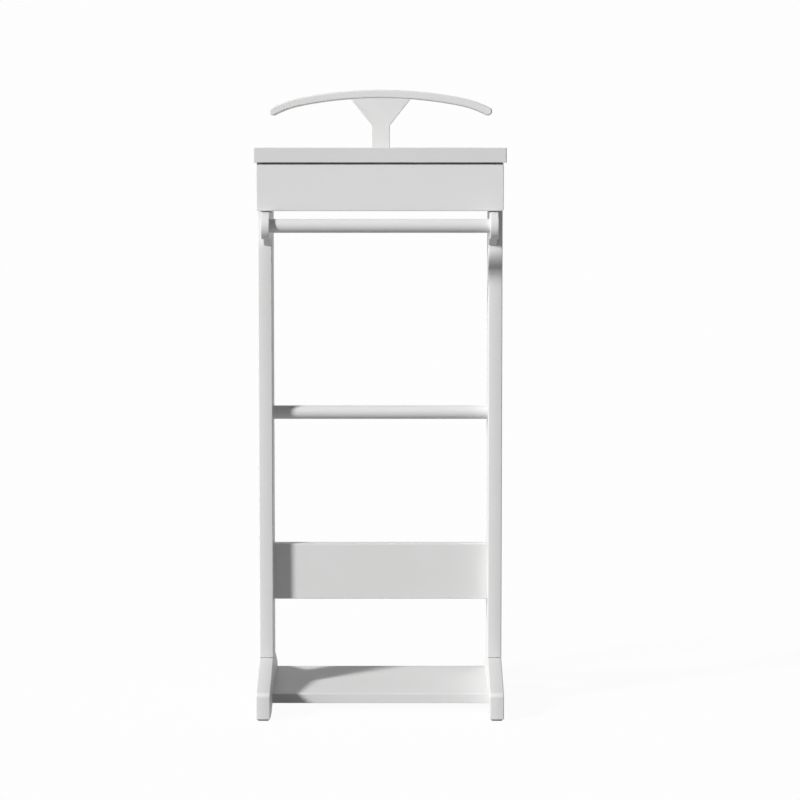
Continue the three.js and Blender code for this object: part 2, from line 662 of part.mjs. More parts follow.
/** Outline of the shoulder rail in (x, z): one long arc, two tighter ends and round tips. */
function shoulderOutline() {
  const straight = HANGER_SPAN / 2 - HANGER_END_LENGTH;
  const angle = Math.asin(straight / HANGER_RADIUS);
  const bend = HANGER_RADIUS - HANGER_END_RADIUS;
  const centreZ = HANGER_HEIGHT - HANGER_RADIUS;
  const endX = bend * Math.sin(angle);
  const endZ = centreZ + bend * Math.cos(angle);
  const droop = angle + HANGER_END_LENGTH / HANGER_END_RADIUS;
  const tip = RAIL_THICKNESS / 2;
  const tipX = endX + (HANGER_END_RADIUS - tip) * Math.sin(droop);
  const tipZ = endZ + (HANGER_END_RADIUS - tip) * Math.cos(droop);
  const lower = HANGER_RADIUS - RAIL_THICKNESS;
  const lowerEnd = HANGER_END_RADIUS - RAIL_THICKNESS;
  const up = Math.PI / 2;
  const shape = new THREE.Shape();
  shape.absarc(-endX, endZ, HANGER_END_RADIUS, up + droop, up + angle, true);
  shape.absarc(0, centreZ, HANGER_RADIUS, up + angle, up - angle, true);
  shape.absarc(endX, endZ, HANGER_END_RADIUS, up - angle, up - droop, true);
  shape.absarc(tipX, tipZ, tip, up - droop, -up - droop, true);
  shape.absarc(endX, endZ, lowerEnd, up - droop, up - angle, false);
  shape.absarc(0, centreZ, lower, up - angle, up + angle, false);
  shape.absarc(-endX, endZ, lowerEnd, up + angle, up + droop, false);
  shape.absarc(-tipX, tipZ, tip, droop - up, up + droop, true);
  shape.closePath();
  return shape;
}

/** Hanger: a post that widens to a yoke, and a curved shoulder rail on top of it. */
function addHanger() {
  const group = new THREE.Group();
  const seamRadius = HANGER_RADIUS - RAIL_THICKNESS - GLUE_LINE;
  const centreZ = HANGER_HEIGHT - HANGER_RADIUS;
  const foot = CASE_BASE_HEIGHT + POST_FOOT_LIFT;
  const yokeBase = HANGER_HEIGHT - RAIL_THICKNESS - YOKE_DROP;
  const halfPost = POST_WIDTH / 2;
  const angle = Math.asin(YOKE_WIDTH / 2 / seamRadius);
  const board = new THREE.Shape();
  board.moveTo(-halfPost, foot);
  board.lineTo(halfPost, foot);
  board.lineTo(halfPost, yokeBase);
  board.lineTo(YOKE_WIDTH / 2, centreZ + seamRadius * Math.cos(angle));
  board.absarc(0, centreZ, seamRadius, Math.PI / 2 - angle, Math.PI / 2 + angle, false);
  board.lineTo(-halfPost, yokeBase);
  board.closePath();
  const rear = caseRear + HANGER_BOARD_THICKNESS;
  const postGeometry = cut(extrude(board, 'y', caseRear, rear, 0, 6), postScrewHoles());
  piece(group, 'hanger_board', postGeometry, lacquer);

  const rail = shoulderOutline();
  const railRear = caseRear + RAIL_DEPTH;
  piece(group, 'shoulder_rail', extrude(rail, 'y', caseRear, railRear, RAIL_EDGE, 7), lacquer);

  for (const { place, z } of postScrewPlaces()) {
    const length = BOARD_SCREW_LENGTH + SCREW_HEAD_HEIGHT;
    const screw = screwGeometry(SCREW_RADIUS, SCREW_HEAD_RADIUS, SCREW_HEAD_HEIGHT, length);
    const headPlace = [0, rear + SCREW_HEAD_HEIGHT, z];
    piece(group, `hanger_screw_${place}`, pointing(screw, Y, headPlace), steel);
  }
  stand.add(group);
}

for (const side of SIDES) addSideFrame(side);
addShoeShelf();
addCrossPanel();
addLowerBar();
addTrouserBar();
addCase();
addRunners();
addDrawer();
addHanger();

export default stand;
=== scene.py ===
"""Looks of the valet stand: white lacquered joinery, a birch drawer box, beech, steel and felt.

Sizes are in millimetres and are turned into metres when a mesh is made. Every board is an outline
carried along an axis, and every rod, cap and screw is a profile turned about one.
"""

import json
import logging
import math
from collections.abc import Mapping, Sequence
from dataclasses import dataclass, field
from enum import Enum
from typing import Any, Protocol

import bpy
import numpy as np
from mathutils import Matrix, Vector

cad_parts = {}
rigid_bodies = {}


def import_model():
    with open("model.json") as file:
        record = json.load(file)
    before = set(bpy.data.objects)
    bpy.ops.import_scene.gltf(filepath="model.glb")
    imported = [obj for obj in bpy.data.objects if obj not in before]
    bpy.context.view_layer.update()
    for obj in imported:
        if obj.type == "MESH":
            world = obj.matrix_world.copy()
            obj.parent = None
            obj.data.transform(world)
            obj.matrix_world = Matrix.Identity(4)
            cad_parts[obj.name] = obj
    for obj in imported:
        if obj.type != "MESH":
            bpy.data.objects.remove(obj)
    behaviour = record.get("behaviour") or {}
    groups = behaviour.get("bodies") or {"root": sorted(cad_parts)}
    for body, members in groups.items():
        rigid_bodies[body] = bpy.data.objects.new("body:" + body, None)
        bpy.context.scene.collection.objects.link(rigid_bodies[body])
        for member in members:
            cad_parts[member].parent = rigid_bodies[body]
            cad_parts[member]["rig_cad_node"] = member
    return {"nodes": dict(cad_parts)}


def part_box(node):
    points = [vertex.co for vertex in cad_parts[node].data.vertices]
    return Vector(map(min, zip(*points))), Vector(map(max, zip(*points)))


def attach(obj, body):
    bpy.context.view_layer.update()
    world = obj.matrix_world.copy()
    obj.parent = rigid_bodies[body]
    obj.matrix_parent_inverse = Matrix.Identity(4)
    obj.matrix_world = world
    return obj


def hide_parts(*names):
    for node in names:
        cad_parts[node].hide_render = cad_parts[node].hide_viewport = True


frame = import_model()

LOG = logging.getLogger("valet_stand")

# One millimetre in metres.
MM = 0.001
# Length of the flat that stays beside each rounding, so that the faces shade flat.
HOLD = 0.25
# Rounding of an end that sits against or inside another piece.
HIDDEN_EDGE = 0.3
# Rings along a crowned board, and stretches along the eased end of a rod.
CROWN_RINGS = 12
ROD_STEPS = 5
# The turn from which an edge counts as fully rubbed and fully given its painted highlight, and the
# turn from which it shades crisp.
SOFT_TURN = math.radians(8)
SHARP_TURN = math.radians(32)
# Angles closer than this are the same.
ROUNDING = 1e-9

Array = np.ndarray
Point = Sequence[float]
Pair = tuple[float, float]
Triple = tuple[float, float, float]
WHITE = (1.0, 1.0, 1.0, 1.0)


class Axis(Enum):
    """The way a piece runs. The value lists the world directions of its u, its v and its run."""

    X = ((0, 1, 0), (0, 0, 1), (1, 0, 0))
    Y = ((1, 0, 0), (0, 0, 1), (0, 1, 0))
    Z = ((1, 0, 0), (0, 1, 0), (0, 0, 1))

    @property
    def index(self) -> int:
        """Place of the run among x, y and z."""
        return "XYZ".index(self.name)

    @property
    def across(self) -> list[int]:
        """Places of the other two directions, which are the run's u and v."""
        return [place for place in range(3) if place != self.index]


class Side(Enum):
    """The two sides of the stand. The value is the sign of x there."""

    LEFT = -1
    RIGHT = 1

    @property
    def label(self) -> str:
        """The side's name as the nodes spell it."""
        return self.name.lower()


class Body(Enum):
    """The two bodies that pieces ride on."""

    STAND = "stand"
    DRAWER = "drawer"


# ---------------------------------------------------------------------------------------------
# Surfaces
# ---------------------------------------------------------------------------------------------


def unit(vectors: Array) -> Array:
    """Vectors over their own lengths."""
    return vectors / np.linalg.norm(vectors, axis=-1, keepdims=True)


def arc(centre: Point, radius: float, start: float, stop: float, steps: int) -> Array:
    """Points on a circle: the centre plus the radius times (cos, sin) of evenly spaced angles.

    Args:
        centre: The circle's centre in (u, v).
        radius: Its radius.
        start: First angle in degrees.
        stop: Last angle in degrees.
        steps: Number of stretches between them.

    Returns:
        Array (steps + 1, 2).
    """
    angle = np.radians(np.linspace(start, stop, steps + 1))
    return np.asarray(centre) + radius * np.stack([np.cos(angle), np.sin(angle)], axis=1)


def bezier(start: Point, pull: Point, stop: Point, steps: int) -> Array:
    """Inner points of a curve: (1 - t)² start + 2 t (1 - t) pull + t² stop, for t from 0 to 1.

    Args:
        start: First point in (u, v), which is left out.
        pull: The point that bends the curve.
        stop: Last point, which is left out.
        steps: Number of stretches along the curve.

    Returns:
        Array (steps - 1, 2).
    """
    t = np.linspace(0, 1, steps + 1)[1:-1, None]
    a, b, c = (np.asarray(point, float) for point in (start, pull, stop))
    return (1 - t) ** 2 * a + 2 * t * (1 - t) * b + t**2 * c


def eased_corners(corners: Sequence[Triple], steps: int = 8) -> Array:
    """Rounds each corner of a closed outline with an arc that touches both of its sides.

    The arc's centre lies on the corner's bisector, at the radius over the sine of half the
    corner's angle. Its points are the centre plus the radius times (cos, sin) of angles that
    sweep evenly between the two touching points. One more point stands a little before each arc
    and one a little after it, so that the flats stay flat under smooth shading.

    Args:
        corners: (u, v, radius) of each corner, anticlockwise.
        steps: Number of stretches along each arc.

    Returns:
        Array (corners, steps + 3, 2).
    """
    table = np.asarray(corners, float)
    here, radius = table[:, :2], table[:, 2:]
    back = unit(np.roll(here, 1, axis=0) - here)
    ahead = unit(np.roll(here, -1, axis=0) - here)
    half = np.arccos(np.clip((back * ahead).sum(1, keepdims=True), -1, 1)) / 2
    start = here + back * radius / np.tan(half)
    stop = here + ahead * radius / np.tan(half)
    centre = here + unit(back + ahead) * radius / np.sin(half)
    bend = np.sign(back[:, 1:] * ahead[:, :1] - back[:, :1] * ahead[:, 1:])
    first = np.arctan2(start[:, 1:] - centre[:, 1:], start[:, :1] - centre[:, :1])
    angle = first + bend * (np.pi - 2 * half) * np.linspace(0, 1, steps + 1)
    arcs = centre[:, None] + radius[:, None] * np.stack([np.cos(angle), np.sin(angle)], axis=2)
    before, after = (start + back * HOLD)[:, None], (stop + ahead * HOLD)[:, None]
    return np.concatenate([before, arcs, after], axis=1)


def outline(corners: Sequence[Triple], steps: int = 8) -> Array:
    """Closed outline through rounded corners, as one array (points, 2)."""
    return eased_corners(corners, steps).reshape(-1, 2)


def rectangle(low: Point, high: Point, radius: float, steps: int = 8) -> Array:
    """Outline of a rectangle with one radius at its four corners.

    Args:
        low: Its lowest corner in (u, v).
        high: Its highest corner.
        radius: Radius of its corners.
        steps: Number of stretches along each corner.

    Returns:
        Array (points, 2), anticlockwise.
    """
    (u0, v0), (u1, v1) = low, high
    corners = [(u0, v0, radius), (u1, v0, radius), (u1, v1, radius), (u0, v1, radius)]
    return outline(corners, steps)


def offset_directions(points: Array) -> tuple[Array, Array]:
    """Directions that move a closed outline outwards by one unit, and how sharply it turns.

    The direction at a point is the sum of the normals of its two sides over one plus their dot
    product, which keeps every side parallel to itself. The turn is the angle between the sides.

    Args:
        points: Array (points, 2), anticlockwise.

    Returns:
        The directions (points, 2) and the turns (points,) in radians.
    """
    side = unit(np.roll(points, -1, axis=0) - points)
    after = np.stack([side[:, 1], -side[:, 0]], axis=1)
    before = np.roll(after, 1, axis=0)
    dot = (before * after).sum(1)
    return (before + after) / (1 + dot)[:, None], np.arccos(np.clip(dot, -1, 1))


@dataclass
class Skin:
    """A closed surface before it becomes a mesh: points in millimetres, faces and a rub value.

    It is 1 where the surface turns over an edge that hands and cloths polish, and 0 on flats.
    The lacquer makes such edges smoother, and lighter as a painted highlight.
    """

    points: Array
    faces: list[list[int]]
    rub: Array

    @classmethod
    def over(cls, rings: Array, rub: Array) -> "Skin":
        """Joins rings of points with quads and closes both ends with a flat face.

        Args:
            rings: Array (rings, points, 3); each ring runs anticlockwise about the run.
            rub: Array (rings, points) of edge marks, for wear and for the painted highlight.

        Returns:
            The closed skin.
        """
        count, size = rings.shape[:2]
        ring, spot = np.meshgrid(np.arange(count - 1), np.arange(size), indexing="ij")
        here, beside = ring * size + spot, ring * size + (spot + 1) % size
        quads = np.stack([here, beside, beside + size, here + size], axis=-1).reshape(-1, 4)
        first = np.arange(size)[::-1].tolist()
        last = (np.arange(size) + (count - 1) * size).tolist()
        return cls(rings.reshape(-1, 3), quads.tolist() + [first, last], rub.reshape(-1))

    @classmethod
    def along(cls, axis: Axis, flat: Array, run: Array, rub: Array, way: int = 1) -> "Skin":
        """Stands flat rings at their places along an axis and joins them.

        A point is its u, its v and its ring's place, each times the axis's own direction. Where
        those three directions are left-handed, the rings are read backwards.

        Args:
            axis: The run.
            flat: Array (rings, points, 2), anticlockwise in the axis's u and v.
            run: Array (rings,) of places along the run.
            rub: Array (rings, points) of edge marks, for wear and for the painted highlight.
            way: 1 where the places go up the run, and -1 where they go down it.

        Returns:
            The closed skin.
        """
        places = np.broadcast_to(run[:, None, None], (*flat.shape[:2], 1))
        local = np.concatenate([flat, places], axis=2)
        basis = np.asarray(axis.value, float)
        if way * np.linalg.det(basis) < 0:
            local, rub = local[:, ::-1], rub[:, ::-1]
        return cls.over(local @ basis, rub)

    @classmethod
    def joined(cls, skins: Sequence["Skin"]) -> "Skin":
        """Several separate skins as one.

        Args:
            skins: Closed skins that don't touch each other.

        Returns:
            One skin of all their points and faces.
        """
        starts = np.cumsum([0] + [len(skin.points) for skin in skins[:-1]]).tolist()
        faces = [
            [spot + start for spot in face]
            for start, skin in zip(starts, skins)
            for face in skin.faces
        ]
        points = np.concatenate([skin.points for skin in skins])
        return cls(points, faces, np.concatenate([skin.rub for skin in skins]))


def carried(
    shape: Array,
    axis: Axis,
    start: float,
    stop: float,
    edge: float,
    crown: float = 0.0,
    steps: int = 6,
) -> Skin:
    """Carries an outline along an axis, rounds it over at both ends and may crown it between them.

    At an angle a of the rounding, from a quarter turn at the end to nothing, the ring stands at
    edge * (1 - sin a) from the end and is drawn in by edge * (1 - cos a). The crown draws every
    ring in by crown * q² more, where q runs evenly from -1 at one end to 1 at the other.

    Args:
        shape: Outline (points, 2), anticlockwise in the axis's u and v.
        axis: The run.
        start: Lower end.
        stop: Upper end.
        edge: Radius of the rounding.
        crown: How far the rim is drawn in at the ends by the crown alone.
        steps: Rings along each rounding.

    Returns:
        The board's skin.
    """
    angle = np.linspace(np.pi / 2, 0, steps + 1)
    depth = np.concatenate([[0], edge * (1 - np.sin(angle)), [edge + HOLD]])
    inset = np.concatenate([[edge + HOLD], edge * (1 - np.cos(angle)), [0]])
    end_rub_and_highlight = np.concatenate([[0], np.sin(2 * angle), [0]])
    rings = CROWN_RINGS if crown else 2
    between = np.linspace(start + depth[-1], stop - depth[-1], rings)[1:-1]
    run = np.concatenate([start + depth, between, (stop - depth)[::-1]])
    plain = np.zeros(len(between))
    inset = np.concatenate([inset, plain, inset[::-1]])
    end_rub_and_highlight = np.concatenate([end_rub_and_highlight, plain, end_rub_and_highlight[::-1]])
    inset = inset + crown * ((2 * run - start - stop) / (stop - start)) ** 2
    out, turn = offset_directions(shape)
    # Mark of rounded edges: rubbed smoother, and painted lighter as a painted highlight.
    rub = np.maximum(end_rub_and_highlight[:, None], np.clip(turn / SOFT_TURN, 0, 1))
    return Skin.along(axis, shape - inset[:, None, None] * out, run, rub)


def turned(
    profile: Sequence[Point],
    axis: Axis,
    centre: Point,
    segments: int,
    way: int = 1,
) -> Skin:
    """Turns a profile about an axis: each of its points becomes a circle of its radius.

    The edge mark, for wear and the painted highlight, grows with the profile's bend at a point.

    Args:
        profile: (place along the run, radius) of each point, from one end to the other.
        axis: The run.
        centre: Where the axis stands in the run's u and v.
        segments: Points on each circle.
        way: 1 where the profile points up the run, and -1 where it points down it.

    Returns:
        The turned skin, with a small flat face at each end.
    """
    table = np.asarray(profile, float)
    angle = np.linspace(0, 2 * np.pi, segments, endpoint=False)
    circle = np.stack([np.cos(angle), np.sin(angle)], axis=1)
    flat = np.asarray(centre, float) + table[:, 1, None, None] * circle
    slope = unit(np.gradient(table, axis=0))
    bend = np.abs(np.gradient(np.arctan2(slope[:, 1], slope[:, 0])))
    rub = np.repeat(np.clip(bend / SOFT_TURN / 4, 0, 1)[:, None], segments, axis=1)
    return Skin.along(axis, flat, way * table[:, 0], rub, way)


def rod_profile(start: float, stop: float, radius: float, edge: float) -> Array:
    """Profile of a round rod whose two ends are eased by quarter circles.

    At an angle a, from a quarter turn at the end to nothing, the profile stands at
    edge * (1 - sin a) from the end, and at edge * (1 - cos a) inside the radius.

    Args:
        start: Lower end.
        stop: Upper end.
        radius: The rod's radius.
        edge: Radius of its end edges.

    Returns:
        Array (points, 2) of (place along the run, radius).
    """
    angle = np.linspace(np.pi / 2, 0, ROD_STEPS + 1)
    depth = edge * (1 - np.sin(angle))
    reach = radius - edge * (1 - np.cos(angle))
    lower = np.stack([start + depth, reach], axis=1)
    upper = np.stack([(stop - depth)[::-1], reach[::-1]], axis=1)
    seats = np.array([[start + edge + HOLD, radius], [stop - edge - HOLD, radius]])
    ends = np.array([[start, radius / 8], [stop, radius / 8]])
    return np.concatenate([ends[:1], lower, seats, upper, ends[1:]])


def drilled(axis: Axis, centre: Point, radius: float, start: float, stop: float) -> Skin:
    """Plain round cutter for a hole."""
    return turned([(start, radius), (stop, radius)], axis, centre, 40)


def make_object(name: str, skin: Skin) -> bpy.types.Object:
    """Turns a skin into a mesh object that stands at the origin.

    Args:
        name: The object's name.
        skin: The surface.

    Returns:
        The linked object, shaded smooth.
    """
    mesh = bpy.data.meshes.new(name)
    mesh.from_pydata((skin.points * MM).tolist(), [], skin.faces)
    # Edge mark that the lacquer reads for its polish and for its painted highlight.
    rub = mesh.attributes.new("rub", "FLOAT", "POINT")
    rub.data.foreach_set("value", skin.rub.astype(np.float32))
    mesh.shade_smooth()
    mesh.update()
    made = bpy.data.objects.new(name, mesh)
    bpy.context.scene.collection.objects.link(made)
    return made


def carve(piece: bpy.types.Object, cutters: Sequence[Skin]) -> None:
    """Cuts holes and grooves out of a piece and keeps the cut edges crisp.

    Args:
        piece: The object to cut.
        cutters: Closed skins that don't touch each other.
    """
    tool = make_object("cutter", Skin.joined(cutters))
    cut = piece.modifiers.new("cut", "BOOLEAN")
    cut.operation = "DIFFERENCE"
    cut.solver = "EXACT"
    cut.object = tool
    bpy.context.view_layer.update()
    graph = bpy.context.evaluated_depsgraph_get()
    result = bpy.data.meshes.new_from_object(piece.evaluated_get(graph))
    piece.modifiers.clear()
    spent = [piece.data, tool.data]
    piece.data = result
    bpy.data.objects.remove(tool)
    for mesh in spent:
        bpy.data.meshes.remove(mesh)
    result.name = piece.name
    result.set_sharp_from_angle(angle=SHARP_TURN)


def extent(node: str) -> tuple[Array, Array]:
    """Lowest and highest corner of a node at rest, in millimetres."""
    low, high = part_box(node)
    return np.array(low) / MM, np.array(high) / MM


def middle(node: str, axis: Axis) -> Array:
    """Middle of a node's box in an axis's u and v."""
    low, high = extent(node)
    return (low[axis.across] + high[axis.across]) / 2


@dataclass(frozen=True)
class PanScrew:
    """Pan-headed screw with a cross recess, in its node's box.

    The way is 1 where the head faces up the run, and -1 where it faces down it.
    """

    node: str
    axis: Axis
    way: int
    shank_radius: float
    recess_span: float
    head_height: float = 3.0
    rim_share: float = 0.7
    fillet: float = 0.3
    lead: float = 0.2
    flat_radius: float = 0.4
    rim_points: int = 9
    segments: int = 40
    recess_rise: float = 0.3
    recess_depth: float = 0.5
    recess_mouth: float = 1.25
    recess_tip: float = 0.45

    @property
    def ends(self) -> Pair:
        """Places of the point and of the head's outer face, counted towards the head."""
        point, face = sorted(self.way * corner[self.axis.index] for corner in extent(self.node))
        return point, face

    def skin(self) -> Skin:
        """Shank with a point, and a head whose rim is a quarter circle.

        At an angle a of the rim, from 0 at its foot to a quarter turn, the profile stands
        rim * (1 - sin a) below the face and rim * (1 - cos a) inside the head's radius.

        Returns:
            The screw's skin.
        """
        point, face = self.ends
        low, high = extent(self.node)
        side = self.axis.across[0]
        head = (high[side] - low[side]) / 2
        shank, seat, fillet = self.shank_radius, face - self.head_height, self.fillet
        rim = self.head_height * self.rim_share
        angle = np.radians(np.linspace(0, 90, self.rim_points))
        rise, inset = rim * np.sin(angle), rim * (1 - np.cos(angle))
        dome = np.stack([face - rim + rise, head - inset], axis=1)
        stem = [
            (point, fillet),
            (point + 2 * shank, shank),
            (seat - fillet, shank),
            (seat, shank + fillet),
            (seat, head - fillet),
            (seat + self.lead, head),
        ]
        profile = np.concatenate([stem, dome, [(face, self.flat_radius)]])
        centre = middle(self.node, self.axis)
        return turned(profile, self.axis, centre, self.segments, self.way)

    def recess(self) -> Skin:
        """Tapered cross to cut into the head: a plus outline that narrows from mouth to tip.

        The plus is three corners of one arm, half the span long and a ninth of it to each side,
        turned by (cos, -sin; sin, cos) of four quarter turns.

        Returns:
            The cutter's skin.
        """
        span, (_, face) = self.recess_span, self.ends
        arm, half = span / 2, span / 9
        quarter = np.array([[arm, -half], [arm, half], [half, half]])
        turns = np.radians([0, 90, 180, 270])
        spin = np.stack([np.cos(turns), -np.sin(turns), np.sin(turns), np.cos(turns)], axis=1)
        plus = np.einsum("kij,nj->kni", spin.reshape(4, 2, 2), quarter).reshape(-1, 2)
        places = self.way * (face + np.array([self.recess_rise, -self.recess_depth]) * span)
        scale = np.array([self.recess_mouth, self.recess_tip])
        if self.way > 0:
            places, scale = places[::-1], scale[::-1]
        flat = middle(self.node, self.axis) + scale[:, None, None] * plus
        return Skin.along(self.axis, flat, places, np.zeros(flat.shape[:2]))


# ---------------------------------------------------------------------------------------------
# Shader maths
# ---------------------------------------------------------------------------------------------


@dataclass(frozen=True)
class Signal:
    """A value in a node tree that takes part in sums; each operator adds one Math node."""

    bench: "Bench"
    socket: bpy.types.NodeSocket

    def _math(self, operation: str, *terms: Any) -> "Signal":
        """One Math node over the terms."""
        inputs = dict(enumerate(terms))
        node = self.bench.add("ShaderNodeMath", {"operation": operation}, inputs)
        return Signal(self.bench, node.outputs[0])

    def __add__(self, other: Any) -> "Signal":
        """Sum."""
        return self._math("ADD", self, other)

    __radd__ = __add__

    def __mul__(self, other: Any) -> "Signal":
        """Product."""
        return self._math("MULTIPLY", self, other)

    __rmul__ = __mul__

    def __sub__(self, other: Any) -> "Signal":
        """Difference."""
        return self._math("SUBTRACT", self, other)

    def __rsub__(self, other: Any) -> "Signal":
        """Difference from a number."""
        return self._math("SUBTRACT", other, self)

    def __truediv__(self, other: Any) -> "Signal":
        """Quotient."""
        return self._math("DIVIDE", self, other)

    def __mod__(self, other: float) -> "Signal":
        """Remainder."""
        return self._math("MODULO", self, other)

    def __abs__(self) -> "Signal":
        """Size without its sign."""
        return self._math("ABSOLUTE", self)

    def floor(self) -> "Signal":
        """Whole part."""
        return self._math("FLOOR", self)

    def within(self, low: float, high: float) -> "Signal":
        """The value held between two bounds."""
        return self._math("MINIMUM", self._math("MAXIMUM", self, low), high)

    def ramp(self, low: float, high: float) -> "Signal":
        """Rises smoothly from 0 at one bound to 1 at the other, by 3 t² - 2 t³.

        Args:
            low: Where it is 0.
            high: Where it is 1, above low or below it.

        Returns:
            The ramp.
        """
        settings = {"interpolation_type": "SMOOTHSTEP"}
        inputs = {"Value": self, "From Min": low, "From Max": high}
        node = self.bench.add("ShaderNodeMapRange", settings, inputs)
        return Signal(self.bench, node.outputs["Result"])


class Bench:
    """Builds one node tree."""

    def __init__(self, tree: bpy.types.NodeTree) -> None:
        """Clears the tree.

        Args:
            tree: The tree of a material or of the world.
        """
        self.tree = tree
        tree.nodes.clear()

    def add(
        self,
        kind: str,
        settings: Mapping[str, Any] | None = None,
        inputs: Mapping[int | str, Any] | None = None,
    ) -> bpy.types.Node:
        """Adds a node, sets it up, and then fills its sockets.

        Args:
            kind: The node's type.
            settings: Its settings, which are set first.
            inputs: A value, a signal or a socket for each socket, by name or by place.

        Returns:
            The node.
        """
        node = self.tree.nodes.new(kind)
        for name, value in (settings or {}).items():
            setattr(node, name, value)
        for key, value in (inputs or {}).items():
            source = value.socket if isinstance(value, Signal) else value
            if isinstance(source, bpy.types.NodeSocket):
                self.tree.links.new(source, node.inputs[key])
            else:
                node.inputs[key].default_value = source
        return node

    def noise(
        self,
        scale: float,
        detail: float,
        stretch: Triple = (1.0, 1.0, 1.0),
        turn: Triple = (0.0, 0.0, 0.0),
    ) -> Signal:
        """Soft noise from 0 to 1 over the piece's own coordinates.

        Args:
            scale: Waves to the metre.
            detail: Number of finer layers on top of the first.
            stretch: Scale of each coordinate; below 1 it draws the noise out along it.
            turn: Turn of the coordinates about x, y and z, in radians.

        Returns:
            The noise.
        """
        point = self.add("ShaderNodeTexCoord").outputs["Object"]
        mapping = {"Vector": point, "Scale": stretch, "Rotation": turn}
        vector = self.add("ShaderNodeMapping", None, mapping).outputs["Vector"]
        inputs = {"Vector": vector, "Scale": scale, "Detail": detail, "Roughness": 0.55}
        return Signal(self, self.add("ShaderNodeTexNoise", None, inputs).outputs["Fac"])

    def attribute(self, name: str) -> Signal:
        """A value stored on the mesh's points."""
        node = self.add("ShaderNodeAttribute", {"attribute_name": name})
        return Signal(self, node.outputs["Fac"])

    def blend(self, share: Signal, first: Any, second: Any) -> bpy.types.NodeSocket:
        """Colour between two colours.

        Args:
            share: 0 for the first and 1 for the second.
            first: A colour or a socket.
            second: Another one.

        Returns:
            The Mix node's colour, whose own colours are its sockets 6 and 7.
        """
        first, second = (
            (*colour, 1.0) if isinstance(colour, tuple) else colour for colour in (first, second)
        )
        node = self.add("ShaderNodeMix", {"data_type": "RGBA"}, {0: share, 6: first, 7: second})
        return node.outputs[2]

    def bump(self, height: Signal, strength: float, distance: float) -> bpy.types.NodeSocket:
        """Normal from a height; the distance in metres is the height's full swing."""
        inputs = {"Height": height, "Strength": strength, "Distance": distance}
        return self.add("ShaderNodeBump", None, inputs).outputs["Normal"]

    def finish(self, **sockets: Any) -> None:
        """Ends a material in one Principled shader with the sockets named by underscored words."""
        inputs = {name.replace("_", " "): value for name, value in sockets.items()}
        shader = self.add("ShaderNodeBsdfPrincipled", None, inputs)
        output = {"Surface": shader.outputs["BSDF"]}
        self.add("ShaderNodeOutputMaterial", None, output)


def new_material(name: str) -> tuple[bpy.types.Material, Bench]:
    """An empty material and the bench for its nodes.

    Args:
        name: The material's name.

    Returns:
        Both of them.
    """
    material = bpy.data.materials.new(name)
    material.use_nodes = True
    return material, Bench(material.node_tree)


def stretched(grain: Axis, along: float) -> Triple:
    """Scale that draws a pattern out along the grain.

    Args:
        grain: The way it is drawn out.
        along: Scale that way; below 1 it stretches the pattern, and above 1 it squeezes it.

    Returns:
        The scale of x, y and z.
    """
    scale = [1.0, 1.0, 1.0]
    scale[grain.index] = along
    return tuple(scale)


# ---------------------------------------------------------------------------------------------
# Finishes
# ---------------------------------------------------------------------------------------------


class Finish(Protocol):
    """What a piece is finished with."""

    slot: str

    def material(self, grain: Axis) -> bpy.types.Material:
        """The material for a piece whose grain runs along an axis."""


@dataclass(frozen=True)
class Lacquer:
    """White satin lacquer on wood: a fine spray texture over grain that just shows through."""

    slot: str = "white_lacquer"
    colour: Triple = (0.72, 0.72, 0.717)
    deep: Triple = (0.695, 0.695, 0.69)
    # Lighter white for rounded edges: a painted highlight, not a colour that the lacquer has.
    edge: Triple = (0.78, 0.78, 0.778)
    gloss: float = 0.35
    roughness: float = 0.5
    cloud_scale: float = 7.0
    fibre_scale: float = 420.0
    fibre_stretch: float = 0.03
    spray_scale: float = 850.0
    fibre_share: float = 0.3
    # Share of the painted edge highlight on a fully rubbed edge.
    tone_range: Pair = (0.3, 0.7)
    rubbed: float = 0.6
    cloud_matt: float = 0.08
    spray_matt: float = 0.05
    rub_polish: float = 0.05
    bump_strength: float = 0.25
    relief: float = 0.04 * MM

    def material(self, grain: Axis) -> bpy.types.Material:
        """Lacquer over boards whose grain runs along an axis.

        Clouds and fibres mix two whites; rubbed edges are smoother and carry a painted highlight.

        Args:
            grain: The way the grain runs.

        Returns:
            The material.
        """
        material, bench = new_material(f"white_lacquer_{grain.name.lower()}")
        cloud = bench.noise(self.cloud_scale, 3)
        fibre = bench.noise(self.fibre_scale, 4, stretched(grain, self.fibre_stretch))
        spray = bench.noise(self.spray_scale, 2)
        rub = bench.attribute("rub")
        through, over = fibre * self.fibre_share, 1 - self.fibre_share
        tone = (cloud * over + through).ramp(*self.tone_range)
        body = bench.blend(tone, self.deep, self.colour)
        matt = (cloud - 0.5) * self.cloud_matt + (spray - 0.5) * self.spray_matt
        bench.finish(
            # Painted highlight: rubbed edges are blended towards the lighter edge white.
            Base_Color=bench.blend(rub * self.rubbed, body, self.edge),
            Roughness=self.roughness + matt - rub * self.rub_polish,
            Specular_IOR_Level=self.gloss,
            Normal=bench.bump(spray * over + through, self.bump_strength, self.relief),
        )
        return material


